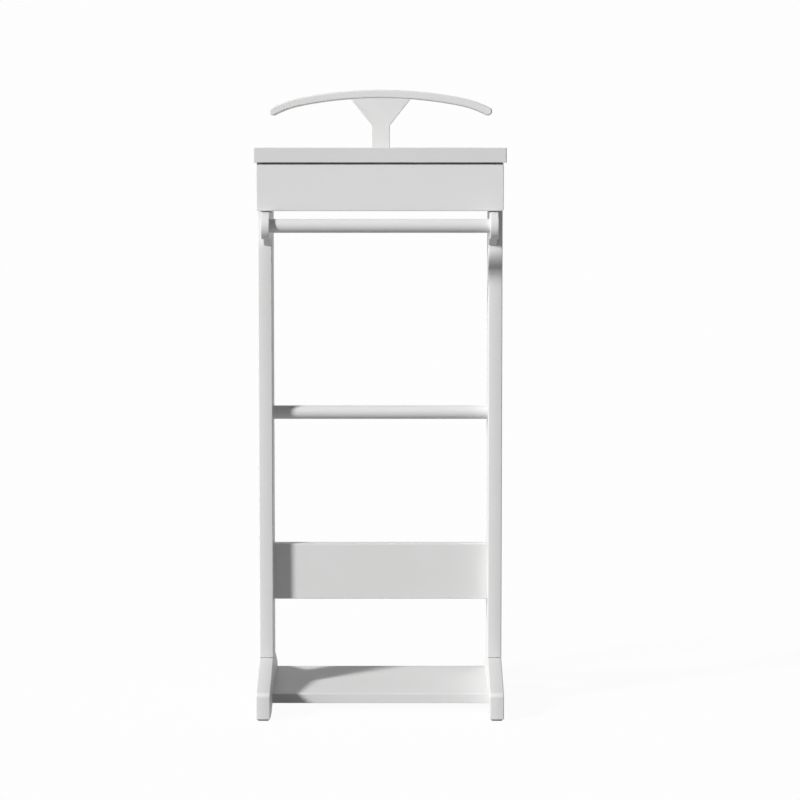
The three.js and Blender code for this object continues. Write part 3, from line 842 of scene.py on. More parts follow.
@dataclass(frozen=True)
class BirchPly:
    """Clear-coated birch plywood: pale faces, and thin crossed layers that show on the edges."""

    layers: Axis
    start: float
    thickness: float
    count: int
    slot: str = "birch_ply"
    pale: Triple = (0.66, 0.50, 0.32)
    warm: Triple = (0.54, 0.37, 0.20)
    cross: Triple = (0.38, 0.24, 0.12)
    figure_scale: float = 90.0
    figure_stretch: float = 0.09
    figure_range: Pair = (0.35, 0.7)
    figure_matt: float = 0.16
    pore_scale: float = 900.0
    pore_stretch: float = 0.04
    pore_range: Pair = (0.62, 0.74)
    pore_share: float = 0.45
    cross_share: float = 0.75
    glue_share: float = 0.5
    glue_fade: Pair = (0.02, 0.12)
    skin: float = 0.04
    roughness: float = 0.5
    bump_strength: float = 0.3
    relief: float = 0.08 * MM

    def material(self, grain: Axis) -> bpy.types.Material:
        """Plywood whose layers lie across one axis and whose outer grain runs along another.

        The depth counts layers from the start on; every second layer is end grain, and glue
        darkens the first and the last of each layer.

        Args:
            grain: The way the outer layers run.

        Returns:
            The material.
        """
        material, bench = new_material(f"birch_ply_{self.layers.name}{grain.name}".lower())
        point = bench.add("ShaderNodeTexCoord").outputs["Object"]
        parts = bench.add("ShaderNodeSeparateXYZ", None, {"Vector": point})
        across = abs(Signal(bench, parts.outputs[self.layers.index])) / MM - self.start
        sheet = self.thickness / self.count
        depth = across.within(self.skin, self.thickness - self.skin) / sheet
        crossed = depth.floor() % 2
        share = depth % 1
        near, far = self.glue_fade
        glue = share.ramp(far, near) + share.ramp(1 - far, 1 - near)
        figure = bench.noise(self.figure_scale, 5, stretched(grain, self.figure_stretch))
        pores = bench.noise(self.pore_scale, 2, stretched(grain, self.pore_stretch))
        face = bench.blend(figure.ramp(*self.figure_range), self.pale, self.warm)
        pitted = pores.ramp(*self.pore_range) * self.pore_share
        flecked = bench.blend(pitted, face, self.warm)
        layered = bench.blend(crossed * self.cross_share, flecked, self.cross)
        glued = (glue * self.glue_share).within(0, 1)
        bench.finish(
            Base_Color=bench.blend(glued, layered, self.cross),
            Roughness=self.roughness + (figure - 0.5) * self.figure_matt,
            Normal=bench.bump(figure * 0.4 + pores * 0.6, self.bump_strength, self.relief),
        )
        return material


@dataclass(frozen=True)
class Beech:
    """Bare waxed beech: pinkish brown with short dark flecks along the grain."""

    slot: str = "beech"
    light: Triple = (0.60, 0.40, 0.24)
    dark: Triple = (0.44, 0.26, 0.14)
    fleck: Triple = (0.26, 0.14, 0.07)
    figure_scale: float = 130.0
    figure_stretch: float = 0.06
    figure_range: Pair = (0.3, 0.7)
    figure_matt: float = 0.2
    fleck_scale: float = 900.0
    fleck_stretch: float = 0.16
    fleck_range: Pair = (0.63, 0.7)
    fleck_share: float = 0.7
    roughness: float = 0.55
    bump_strength: float = 0.3
    relief: float = 0.1 * MM

    def material(self, grain: Axis) -> bpy.types.Material:
        """Beech whose grain runs along an axis.

        Args:
            grain: The way the grain runs.

        Returns:
            The material.
        """
        material, bench = new_material(f"beech_{grain.name.lower()}")
        figure = bench.noise(self.figure_scale, 4, stretched(grain, self.figure_stretch))
        spots = bench.noise(self.fleck_scale, 1, stretched(grain, self.fleck_stretch))
        flecks = spots.ramp(*self.fleck_range)
        body = bench.blend(figure.ramp(*self.figure_range), self.light, self.dark)
        bench.finish(
            Base_Color=bench.blend(flecks * self.fleck_share, body, self.fleck),
            Roughness=self.roughness + (figure - 0.5) * self.figure_matt,
            Normal=bench.bump(figure * 0.5 - flecks * 0.5, self.bump_strength, self.relief),
        )
        return material


@dataclass(frozen=True)
class ZincSteel:
    """Zinc-plated steel screws, a little clouded."""

    slot: str = "screw_steel"
    bright: Triple = (0.72, 0.73, 0.74)
    dull: Triple = (0.50, 0.51, 0.53)
    roughness: float = 0.34
    cloud_scale: float = 260.0
    cloud_range: Pair = (0.35, 0.65)
    cloud_matt: float = 0.2
    mark_scale: float = 700.0
    mark_squeeze: float = 6.0
    bump_strength: float = 0.2
    relief: float = 0.03 * MM

    def material(self, grain: Axis) -> bpy.types.Material:
        """Plated steel; the turning marks run round the screw's axis.

        Args:
            grain: The screw's axis.

        Returns:
            The material.
        """
        material, bench = new_material(f"zinc_steel_{grain.name.lower()}")
        cloud = bench.noise(self.cloud_scale, 3)
        marks = bench.noise(self.mark_scale, 1, stretched(grain, self.mark_squeeze))
        bench.finish(
            Base_Color=bench.blend(cloud.ramp(*self.cloud_range), self.dull, self.bright),
            Metallic=1.0,
            Roughness=self.roughness + (cloud - 0.5) * self.cloud_matt,
            Normal=bench.bump(marks, self.bump_strength, self.relief),
        )
        return material


@dataclass(frozen=True)
class CapPlastic:
    """White moulded cover caps with a fine spark texture."""

    slot: str = "cap_plastic"
    white: Triple = (0.75, 0.75, 0.74)
    shade: Triple = (0.70, 0.70, 0.69)
    roughness: float = 0.42
    cloud_scale: float = 120.0
    cloud_range: Pair = (0.3, 0.7)
    spark_scale: float = 2400.0
    spark_matt: float = 0.12
    bump_strength: float = 0.3
    relief: float = 0.03 * MM

    def material(self, grain: Axis) -> bpy.types.Material:
        """Moulded plastic.

        Args:
            grain: Not used, because the plastic is alike in every direction.

        Returns:
            The material.
        """
        material, bench = new_material("cap_plastic")
        cloud = bench.noise(self.cloud_scale, 2)
        spark = bench.noise(self.spark_scale, 2)
        bench.finish(
            Base_Color=bench.blend(cloud.ramp(*self.cloud_range), self.shade, self.white),
            Roughness=self.roughness + (spark - 0.5) * self.spark_matt,
            Normal=bench.bump(spark, self.bump_strength, self.relief),
        )
        return material


@dataclass(frozen=True)
class Felt:
    """Pressed grey felt under the feet."""

    slot: str = "grey_felt"
    light: Triple = (0.36, 0.35, 0.34)
    dark: Triple = (0.14, 0.135, 0.13)
    roughness: float = 0.95
    sheen: float = 0.35
    clump_scale: float = 700.0
    hair_scale: float = 3000.0
    hair_stretch: Triple = (1.0, 0.15, 1.0)
    hair_turn: Triple = (0.0, 0.0, 0.7)
    tone_range: Pair = (0.35, 0.65)
    bump_strength: float = 0.8
    relief: float = 0.3 * MM

    def material(self, grain: Axis) -> bpy.types.Material:
        """Felt with short hairs over soft clumps.

        Args:
            grain: Not used, because all glides lie the same way.

        Returns:
            The material.
        """
        material, bench = new_material("grey_felt")
        clump = bench.noise(self.clump_scale, 4)
        hair = bench.noise(self.hair_scale, 2, self.hair_stretch, self.hair_turn)
        tone = (clump * 0.6 + hair * 0.4).ramp(*self.tone_range)
        bench.finish(
            Base_Color=bench.blend(tone, self.dark, self.light),
            Roughness=self.roughness,
            Sheen_Weight=self.sheen,
            Normal=bench.bump(clump * 0.5 + hair * 0.5, self.bump_strength, self.relief),
        )
        return material


@dataclass
class Paintshop:
    """Makes each finish once for each way of the grain and hands it to the pieces."""

    ready: dict[tuple[Finish, Axis], bpy.types.Material] = field(default_factory=dict)

    def dress(self, piece: bpy.types.Object, finish: Finish, grain: Axis) -> None:
        """Gives a piece its material.

        Args:
            piece: A new piece or a node of the frame.
            finish: What it is finished with.
            grain: The way its grain runs.
        """
        key = (finish, grain)
        if key not in self.ready:
            self.ready[key] = finish.material(grain)
        piece.data.materials.clear()
        piece.data.materials.append(self.ready[key])


# ---------------------------------------------------------------------------------------------
# Sub-assemblies
# ---------------------------------------------------------------------------------------------


@dataclass
class SubAssembly:
    """Pieces that are made, dressed and reported together."""

    paint: Paintshop

    def add(
        self,
        name: str,
        skin: Skin,
        node: str,
        finish: Finish,
        grain: Axis,
        cutters: Sequence[Skin] = (),
        body: Body = Body.STAND,
    ) -> None:
        """Makes a piece that stands for a node of the frame.

        Args:
            name: The piece's name.
            skin: Its surface.
            node: The node that it replaces.
            finish: What it is finished with.
            grain: The way its grain runs.
            cutters: Holes and grooves to cut.
            body: The body that it rides on.
        """
        piece = make_object(name, skin)
        if cutters:
            carve(piece, cutters)
        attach(piece, body.value)
        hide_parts(node)
        self.paint.dress(piece, finish, grain)
        faces = len(piece.data.polygons)
        LOG.info("%s: %d faces, for %s on %s", name, faces, node, body.value)

    def keep(self, nodes: Sequence[str], finish: Finish, grain: Axis) -> None:
        """Dresses nodes of the frame that stay as they are.

        Args:
            nodes: Their names.
            finish: What they are finished with.
            grain: The way their grain runs.
        """
        for node in nodes:
            self.paint.dress(frame["nodes"][node], finish, grain)
            LOG.info("%s: kept, with %s", node, finish.slot)

    def screw(self, name: str, screw: PanScrew) -> None:
        """Makes a screw that shows, with its recess cut."""
        skin = screw.skin()
        self.add(name, skin, screw.node, ZincSteel(), screw.axis, [screw.recess()])

    def plank(
        self,
        name: str,
        node: str,
        axis: Axis,
        finish: Finish,
        edge: float,
        cutters: Sequence[Skin] = (),
        body: Body = Body.STAND,
    ) -> None:
        """Makes a straight board with eased edges in a node's own box.

        Args:
            name: The piece's name.
            node: The node that gives its box.
            axis: The way that its section is carried, and its grain runs.
            finish: What it is finished with.
            edge: Radius of its edges.
            cutters: Holes and grooves to cut.
            body: The body that it rides on.
        """
        low, high = extent(node)
        section = rectangle(low[axis.across], high[axis.across], edge + 2 * HOLD)
        skin = carried(section, axis, low[axis.index], high[axis.index], edge)
        self.add(name, skin, node, finish, axis, cutters, body)


@dataclass
class SideFrame(SubAssembly):
    """A shaped foot on two felt glides, with an upright screwed to it from below."""

    side: Side
    toe_height: float = 49.5
    heel_height: float = 54.0
    toe_radius: float = 9.0
    heel_radius: float = 12.0
    sole_radius: float = 2.8
    seat_radius: float = 3.0
    glide_thickness: float = 2.0
    glide_radius: float = 3.0
    glide_edge: float = 0.6
    pad_length: float = 64.0
    arch_run: float = 52.0
    arch_height: float = 14.0
    arch_slope: float = 0.45
    arch_steps: int = 14
    corner_steps: int = 10
    edge: float = 1.6
    crown: float = 0.7
    crown_width: float = 0.8
    crown_points: int = 9
    joint_gap: float = 0.6
    tongue_inset: float = 4.0
    tongue_root: float = 1.0
    tongue_radius: float = 2.0
    tongue_edge: float = 0.5
    counterbore_radius: float = 6.8
    counterbore_depth: float = 7.0
    counterbore_lead: float = 8.0
    shank_radius: float = 3.5
    recess_span: float = 6.0

    def build(self) -> None:
        """Makes every piece of the side frame."""
        self._foot()
        self._upright()
        for end in ("front", "rear"):
            self._glide(end)
            self.screw(f"{self.side.label}_seat_screw_{end}", self._foot_screw(end))

    def _foot_screw(self, end: str) -> PanScrew:
        """Long screw whose head faces down into the counterbore."""
        node = f"{self.side.label}_foot_screw_{end}"
        return PanScrew(node, Axis.Z, -1, self.shank_radius, self.recess_span)

    def _foot(self) -> None:
        """Foot: its outline is carried across its thickness, and the screw seats are bored."""
        label = self.side.label
        node = f"{label}_foot"
        low, high = extent(node)
        upright_low, upright_high = extent(f"{label}_upright")
        sole, roof = self.glide_thickness, self.arch_height
        front, rear = low[1] + self.pad_length, high[1] - self.pad_length
        bend = (roof - sole) / self.arch_slope
        corners = eased_corners(
            [
                (low[1], sole, self.sole_radius),
                (high[1], sole, self.sole_radius),
                (high[1], self.heel_height, self.heel_radius),
                (upright_high[1], high[2], self.seat_radius),
                (upright_low[1], high[2], self.seat_radius),
                (low[1], self.toe_height, self.toe_radius),
            ],
            self.corner_steps,
        )
        start, crest = (front, sole), (front + self.arch_run, roof)
        fall, stop = (rear - self.arch_run, roof), (rear, sole)
        up = bezier(start, (front + bend, roof), crest, self.arch_steps)
        down = bezier(fall, (rear - bend, roof), stop, self.arch_steps)
        arch = np.concatenate([[start], up, [crest, fall], down, [stop]])
        shape = np.concatenate([corners[0], arch, corners[1:].reshape(-1, 2)])
        skin = carried(shape, Axis.X, low[0], high[0], self.edge, self.crown)
        top = roof + self.counterbore_depth
        seats = []
        for end in ("front", "rear"):
            screw = self._foot_screw(end).node
            bottom = extent(screw)[0][2] - self.counterbore_lead
            centre = middle(screw, Axis.Z)
            seats.append(drilled(Axis.Z, centre, self.counterbore_radius, bottom, top))
        self.add(f"{label}_shaped_foot", skin, node, Lacquer(), Axis.Y, seats)

    def _upright(self) -> None:
        """Upright: a board on edge whose two narrow faces are drawn out into a slight crown.

        The section is a rounded rectangle; each point is drawn in by the crown times the square
        of its distance from the middle of the thickness over half of it, front and rear alike.
        A tongue, set in all round, fills the fine gap between the upright and the foot.
        """
        node = f"{self.side.label}_upright"
        low, high = extent(node)
        half, centre = (high[:2] - low[:2]) / 2, middle(node, Axis.Z)
        corners = eased_corners(
            [
                (low[0], low[1], self.edge),
                (high[0], low[1], self.edge),
                (high[0], high[1], self.edge),
                (low[0], high[1], self.edge),
            ]
        )
        spread = self.crown_width * np.linspace(-1, 1, self.crown_points)
        face = spread[:, None] * np.array([half[0], 0])
        front = np.array([centre[0], low[1]]) + face
        rear = np.array([centre[0], high[1]]) - face
        section = np.concatenate([corners[0], front, corners[1], corners[2], rear, corners[3]])
        share = ((section[:, 0] - centre[0]) / half[0]) ** 2
        section[:, 1] -= np.sign(section[:, 1] - centre[1]) * self.crown * share
        foot = low[2] + self.joint_gap
        board = carried(section, Axis.Z, foot, high[2], self.edge - 2 * HOLD)
        inset = self.tongue_inset
        tongue = rectangle(low[:2] + inset, high[:2] - inset, self.tongue_radius)
        start, stop = low[2] - self.tongue_root, foot + inset
        skin = Skin.joined([board, carried(tongue, Axis.Z, start, stop, self.tongue_edge)])
        self.add(f"{self.side.label}_crowned_upright", skin, node, Lacquer(), Axis.Z)

    def _glide(self, end: str) -> None:
        """Felt glide with a soft edge.

        Args:
            end: The end of the foot that it stands under.
        """
        label = self.side.label
        node = f"{label}_glide_{end}"
        low, high = extent(node)
        sole = rectangle(low[:2], high[:2], self.glide_radius)
        skin = carried(sole, Axis.Z, low[2], high[2], self.glide_edge)
        self.add(f"{label}_felt_glide_{end}", skin, node, Felt(), Axis.Y)


@dataclass
class CrossMember(SubAssembly):
    """A board between the side frames, with a cover cap over each of its screws."""

    role: str
    places: tuple[str, str]
    cap_radius: float = 7.5
    cap_tip: float = 0.4
    rim_share: float = 0.25
    rim_inset: float = 0.25
    rim_ease: float = 0.08
    dome_share: float = 0.55
    plug_radius: float = 5.0
    plug_ease: float = 0.3
    plug_fillet: Pair = (0.02, 0.1)
    dome_points: int = 10
    segments: int = 48

    def build(self) -> None:
        """Makes the caps and dresses the hidden screws."""
        for side in Side:
            for place in self.places:
                self._cap(side, place)
                self.keep([f"{side.label}_{self.role}_screw_{place}"], ZincSteel(), Axis.X)

    def _cap(self, side: Side, place: str) -> None:
        """Cover cap: a plug, a thin rim, and a dome that falls by the square of the radius.

        The rim takes the share rim_share of the height that shows, and the dome dome_share.

        Args:
            side: The side of the stand.
            place: The screw that it covers.
        """
        node = f"{side.label}_{self.role}_cap_{place}"
        low, high = extent(node)
        inner, outer = sorted((abs(low[0]), abs(high[0])))
        seat = abs(extent(f"{side.label}_foot")[int(side.value > 0)][0])
        height = outer - seat
        rim, plug = self.cap_radius, self.plug_radius
        ease, fillet = self.plug_ease, self.plug_fillet
        radius = np.linspace(rim - self.rim_inset, self.cap_tip, self.dome_points)
        dome = np.stack([outer - self.dome_share * height * (radius / rim) ** 2, radius], axis=1)
        body = [
            (inner, self.cap_tip),
            (inner, plug - ease),
            (inner + ease, plug),
            (seat - fillet[0], plug),
            (seat, plug + fillet[1]),
            (seat, rim - self.rim_ease),
            (seat + self.rim_ease, rim),
            (seat + self.rim_share * height, rim),
        ]
        profile = np.concatenate([body, dome])
        skin = turned(profile, Axis.X, middle(node, Axis.X), self.segments, side.value)
        name = f"{side.label}_{self.role}_button_{place}"
        self.add(name, skin, node, CapPlastic(), Axis.X)


@dataclass
class ShoeShelf(CrossMember):
    """Shoe shelf between the feet, tipped up towards the back."""

    role: str = "shelf"
    places: tuple[str, str] = ("front", "rear")
    slope: float = 3.2
    thickness: float = 18.0
    depth: float = 216.0
    edge: float = 1.3

    def build(self) -> None:
        """Makes the tipped board and its caps.

        A corner of the section is the lower front corner plus its depth times (cos, sin) of the
        slope, plus its height times (-sin, cos) of it.
        """
        low, high = extent("shoe_shelf")
        tilt = math.radians(self.slope)
        along = np.array([math.cos(tilt), math.sin(tilt)])
        up = np.array([-along[1], along[0]])
        start = np.array([high[1] - self.depth * along[0], low[2]])
        shares = np.array([[0, 0], [1, 0], [1, 1], [0, 1]])
        reach, height = self.depth * shares[:, :1], self.thickness * shares[:, 1:]
        corners = [(float(y), float(z), self.edge) for y, z in start + reach * along + height * up]
        skin = carried(outline(corners), Axis.X, low[0], high[0], HIDDEN_EDGE)
        self.add("sloping_shoe_board", skin, "shoe_shelf", Lacquer(), Axis.X)
        super().build()


@dataclass
class CrossPanel(CrossMember):
    """Panel between the uprights, in the middle of their depth."""

    role: str = "panel"
    places: tuple[str, str] = ("lower", "upper")
    edge: float = 1.5

    def build(self) -> None:
        """Makes the panel and its caps."""
        low, high = extent("cross_panel")
        section = rectangle(low[1:], high[1:], self.edge)
        skin = carried(section, Axis.X, low[0], high[0], HIDDEN_EDGE)
        self.add("middle_cross_board", skin, "cross_panel", Lacquer(), Axis.X)
        super().build()


@dataclass
class Bars(SubAssembly):
    """Trouser bar on its two arms, and the plain lower bar."""

    nose_radius: float = 24.0
    heel_run: float = 18.0
    heel_lip: float = 1.5
    hollow_radius: float = 4.0
    lip_radius: float = 2.2
    edge: float = 1.2
    crown: float = 0.2
    seat: float = 0.8
    rod_edge: float = 1.0
    rod_segments: int = 96
    nose_steps: int = 40

    def build(self) -> None:
        """Makes both bars and both arms, and dresses the dowels."""
        self._rod("lower_cross_rod", "lower_bar")
        self._rod("trouser_rod", "trouser_bar")
        for side in Side:
            self._arm(side)
            dowels = [f"{side.label}_arm_dowel_{place}" for place in ("lower", "upper")]
            self.keep(dowels, Beech(), Axis.Y)

    def _rod(self, name: str, node: str) -> None:
        """Round bar in its node's box.

        Args:
            name: The piece's name.
            node: The node that it replaces.
        """
        low, high = extent(node)
        profile = rod_profile(low[0], high[0], (high[2] - low[2]) / 2, self.rod_edge)
        skin = turned(profile, Axis.X, middle(node, Axis.X), self.rod_segments)
        self.add(name, skin, node, Lacquer(), Axis.X)

    def _arm(self, side: Side) -> None:
        """Arm: a round nose about the bar, a straight top, and a sloping heel at the upright.

        Its rear end stands a little inside the crown of the upright's front face.

        Args:
            side: The side of the stand.
        """
        node = f"{side.label}_bar_arm"
        low, high = extent(node)
        y, z = middle("trouser_bar", Axis.X)
        under, rear = z - self.nose_radius, high[1] + self.seat
        base = np.array([[rear - HOLD, low[2]], [rear, low[2]], [rear, low[2] + HOLD]])
        top = np.array([[rear, high[2] - HOLD], [rear, high[2]], [rear - HOLD, high[2]]])
        nose = arc((y, z), self.nose_radius, 90, 270, self.nose_steps)
        before, after = np.array([[y + HOLD, high[2]]]), np.array([[y + HOLD, under]])
        heel = eased_corners(
            [
                (y, under, HOLD),
                (high[1] - self.heel_run, under, self.hollow_radius),
                (high[1] - self.heel_lip, low[2], self.lip_radius),
                (rear, low[2], HOLD),
                (rear, high[2], HOLD),
            ]
        )[1:3]
        shape = np.concatenate([base, top, before, nose, after, heel.reshape(-1, 2)])
        skin = carried(shape, Axis.X, low[0], high[0], self.edge, self.crown)
        self.add(f"{side.label}_rod_arm", skin, node, Lacquer(), Axis.Y)


@dataclass
class TopCase(SubAssembly):
    """Case on top of the uprights: bottom, sides, back, runners and a thick top board."""

    top_edge: float = 1.3
    top_corner: float = 2.2
    wall_edge: float = 0.6
    runner_edge: float = 0.8
    bottom_edge: float = 0.8
    seat_radius: float = 5.4
    seat_depth: float = 3.3
    seat_lead: float = 2.0

    def build(self) -> None:
        """Makes the case boards and runners, and dresses the hidden screws."""
        finish, edge = Lacquer(), self.wall_edge
        self._bottom()
        for side in Side:
            label = side.label
            self.plank(f"case_{label}_wall", f"case_{label}_side", Axis.Y, finish, edge)
            runner = f"{label}_runner"
            self.plank(f"{runner}_strip", runner, Axis.Y, Beech(), self.runner_edge)
        self.plank("case_rear_wall", "case_back", Axis.X, finish, edge)
        low, high = extent("top_board")
        plan = rectangle(low[:2], high[:2], self.top_corner, 12)
        skin = carried(plan, Axis.Z, low[2], high[2], self.top_edge, steps=8)
        self.add("thick_top_slab", skin, "top_board", finish, Axis.X)

    def _bottom(self) -> None:
        """Bottom board with a counterbored seat over each of its screws."""
        top = extent("case_bottom")[1][2]
        start, stop = top - self.seat_depth, top + self.seat_lead
        seats = []
        for side in Side:
            for end in ("front", "rear"):
                node = f"{side.label}_case_screw_{end}"
                centre = middle(node, Axis.Z)
                seats.append(drilled(Axis.Z, centre, self.seat_radius, start, stop))
                self.keep([node], ZincSteel(), Axis.Z)
        name, edge = "case_base_board", self.bottom_edge
        self.plank(name, "case_bottom", Axis.X, Lacquer(), edge, cutters=seats)


@dataclass
class Drawer(SubAssembly):
    """Drawer: a lacquered front with a finger groove, and a grooved birch plywood box."""

    front_edge: float = 1.3
    front_corner: float = 3.0
    grip_length: float = 200.0
    grip_width: float = 9.0
    grip_depth: float = 8.0
    grip_lip: float = 6.0
    grip_round: float = 4.4
    grip_edge: float = 1.0
    grip_lead: float = 4.0
    board: float = 12.0
    plies: int = 9
    sheet_thickness: float = 4.0
    sheet_plies: int = 3
    sheet_groove: float = 4.0
    runner_groove: float = 7.0
    play: float = 0.3
    edge: float = 0.5
    crisp_edge: float = 0.6

    def build(self) -> None:
        """Makes the five pieces of the drawer."""
        self._front()
        for side in Side:
            self._wall(side)
        self._back()
        low, _ = extent("drawer_bottom")
        ply = BirchPly(Axis.Z, low[2], self.sheet_thickness, self.sheet_plies)
        name = "drawer_thin_base"
        self.plank(name, "drawer_bottom", Axis.X, ply, HIDDEN_EDGE, body=Body.DRAWER)

    def _front(self) -> None:
        """Front board, with the finger groove cut up into its lower edge."""
        low, high = extent("drawer_front")
        face = rectangle(low[[0, 2]], high[[0, 2]], self.front_corner)
        skin = carried(face, Axis.Y, low[1], high[1], self.front_edge)
        start, half = low[1] + self.grip_lip, self.grip_length / 2
        slot = rectangle((-half, start), (half, start + self.grip_width), self.grip_round)
        below, roof = low[2] - self.grip_lead, low[2] + self.grip_depth
        grip = carried(slot, Axis.Z, below, roof, self.grip_edge)
        self.add("drawer_face", skin, "drawer_front", Lacquer(), Axis.X, [grip], Body.DRAWER)

    def _wall(self, side: Side) -> None:
        """Side board, with a groove for the runner outside and one for the base inside.

        The section is worked out for the right side, and mirrored for the left one.

        Args:
            side: The side of the drawer.
        """
        node = f"drawer_{side.label}_side"
        low, high = extent(node)
        runner_low, runner_high = extent(f"{side.label}_runner")
        sheet_low, sheet_high = extent("drawer_bottom")
        inner, outer = (low[0], high[0]) if side is Side.RIGHT else (-high[0], -low[0])
        groove = (runner_low[2] - self.play, runner_high[2] + self.play)
        slot = (sheet_low[2], sheet_high[2] + self.play)
        soft, crisp = self.edge + 2 * HOLD, self.crisp_edge
        runner_depth, sheet_depth = outer - self.runner_groove, inner + self.sheet_groove
        corners = [
            (inner, low[2], soft),
            (outer, low[2], soft),
            (outer, groove[0], crisp),
            (runner_depth, groove[0], crisp),
            (runner_depth, groove[1], crisp),
            (outer, groove[1], crisp),
            (outer, high[2], soft),
            (inner, high[2], soft),
            (inner, slot[1], crisp),
            (sheet_depth, slot[1], crisp),
            (sheet_depth, slot[0], crisp),
            (inner, slot[0], crisp),
        ]
        section = outline(corners, 3)
        if side is Side.LEFT:
            section = (section * np.array([-1, 1]))[::-1]
        skin = carried(section, Axis.Y, low[1], high[1], HIDDEN_EDGE, steps=3)
        ply = BirchPly(Axis.X, float(inner), self.board, self.plies)
        name = f"drawer_{side.label}_wall"
        self.add(name, skin, node, ply, Axis.Y, body=Body.DRAWER)

    def _back(self) -> None:
        """Back board between the sides."""
        low, _ = extent("drawer_back")
        ply = BirchPly(Axis.Y, float(low[1]), self.board, self.plies)
        name = "drawer_rear_wall"
        self.plank(name, "drawer_back", Axis.X, ply, self.edge, body=Body.DRAWER)


@dataclass
class Hanger(SubAssembly):
    """Coat hanger: a post that widens to a yoke, and a bent shoulder rail on top of it."""

    radius: float = 780.0
    end_radius: float = 200.0
    end_length: float = 57.0
    span: float = 414.0
    thickness: float = 15.0
    post_width: float = 34.0
    yoke_drop: float = 51.0
    yoke_width: float = 112.0
    yoke_radius: float = 6.0
    lead_radius: float = 60.0
    glue_line: float = 0.3
    board_edge: float = 1.2
    rail_edge: float = 3.0
    shank_radius: float = 2.5
    recess_span: float = 4.6
    seam_steps: int = 24
    bow_points: int = 57
    end_points: int = 22
    tip_points: int = 19

    def build(self) -> None:
        """Makes the post, the rail and their two screws."""
        self._post()
        self._rail()
        for place in ("lower", "upper"):
            node = f"hanger_screw_{place}"
            screw = PanScrew(node, Axis.Y, 1, self.shank_radius, self.recess_span)
            self.screw(f"hanger_fixing_{place}", screw)

    def _post(self) -> None:
        """Post and yoke: straight sides, sloping shoulders and a top that follows the rail.

        The top is an arc about the rail's own centre, a glue line below the rail. Its two ends
        are eased corners, and a wide easing beside each leads the outline on to the arc.
        """
        low, high = extent("hanger_board")
        crest = extent("shoulder_rail")[1][2]
        seam = self.radius - self.thickness - self.glue_line
        yoke = crest - self.thickness - self.yoke_drop
        half, wide = self.post_width / 2, self.yoke_width / 2
        reach = math.degrees(math.asin(wide / seam))
        ease = self.board_edge + 2 * HOLD
        centre = (0, crest - self.radius)
        top = arc(centre, seam, 90 - reach, 90 + reach, self.seam_steps)
        tips = top[[0, 3, -4, -1]].tolist()
        blocks = eased_corners(
            [
                (-half, low[2], ease),
                (half, low[2], ease),
                (half, yoke, self.yoke_radius),
                (*tips[0], ease),
                (*tips[1], self.lead_radius),
                (*tips[2], self.lead_radius),
                (*tips[3], ease),
                (-half, yoke, self.yoke_radius),
            ]
        )
        right, left = blocks[:5].reshape(-1, 2), blocks[5:].reshape(-1, 2)
        shape = np.concatenate([right, top[4:-4], left])
        skin = carried(shape, Axis.Y, low[1], high[1], self.board_edge)
        self.add("hanger_post_board", skin, "hanger_board", Lacquer(), Axis.Z)

    def _rail(self) -> None:
        """Shoulder rail: a band of even thickness about a centre line of three arcs.

        The line bends with the large radius over the middle and with the small one over both
        ends. A point on it is its arc's centre plus that radius, less half the thickness, times
        (sin, cos) of its heading, which is 0 at the crest. Its two offsets, up and down by half
        the thickness, are joined by half circles.
        """
        low, high = extent("shoulder_rail")
        half = self.thickness / 2
        bow = math.asin((self.span / 2 - self.end_length) / self.radius)
        ends = np.linspace(bow, bow + self.end_length / self.end_radius, self.end_points)
        arch = np.linspace(-bow, bow, self.bow_points)[1:-1]
        heading = np.concatenate([-ends[::-1], arch, ends])
        direction = np.stack([np.sin(heading), np.cos(heading)], axis=1)
        side = np.stack([np.where(heading < 0, -1, 1), np.ones(len(heading))], axis=1)
        at_end = (np.abs(heading) >= bow - ROUNDING)[:, None]
        centre = np.array([0, high[2] - self.radius])
        shift = (self.radius - self.end_radius) * np.array([math.sin(bow), math.cos(bow)])
        hub = np.where(at_end, centre + shift * side, centre)
        path = hub + np.where(at_end, self.end_radius - half, self.radius - half) * direction
        turn = np.radians(np.linspace(0, 180, self.tip_points))[1:-1, None]
        out = direction[-1]
        onward = out[::-1] * [1, -1]
        tip = path[-1] + half * (np.cos(turn) * out + np.sin(turn) * onward)
        upper, lower = path + half * direction, path - half * direction
        shape = np.concatenate([upper, tip, lower[::-1], (tip * [-1, 1])[::-1]])
        skin = carried(shape[::-1], Axis.Y, low[1], high[1], self.rail_edge, steps=8)
        self.add("bent_shoulder_rail", skin, "shoulder_rail", Lacquer(), Axis.X)


# ---------------------------------------------------------------------------------------------
# Studio
# ---------------------------------------------------------------------------------------------


@dataclass(frozen=True)
class Lamp:
    """A far lamp with a wide disc; angles are in degrees, azimuths turn from front to right."""

    name: str
    power: float
    disc: float
    azimuth: float
    height: float
    distance: float = 3.0

    def build(self) -> None:
        """Hangs the lamp, shining from its azimuth and height to the origin.

        The ray is (-cos h * sin a, cos h * cos a, -sin h) for an azimuth a and a height h.
        """
        data = bpy.data.lights.new(self.name, "SUN")
        data.energy = self.power
        data.angle = math.radians(self.disc)
        azimuth, height = math.radians(self.azimuth), math.radians(self.height)
        flat = math.cos(height)
        ray = Vector((-flat * math.sin(azimuth), flat * math.cos(azimuth), -math.sin(height)))
        lamp = bpy.data.objects.new(self.name, data)
        lamp.rotation_euler = ray.to_track_quat("-Z", "Y").to_euler()
        lamp.location = -self.distance * ray
        bpy.context.scene.collection.objects.link(lamp)


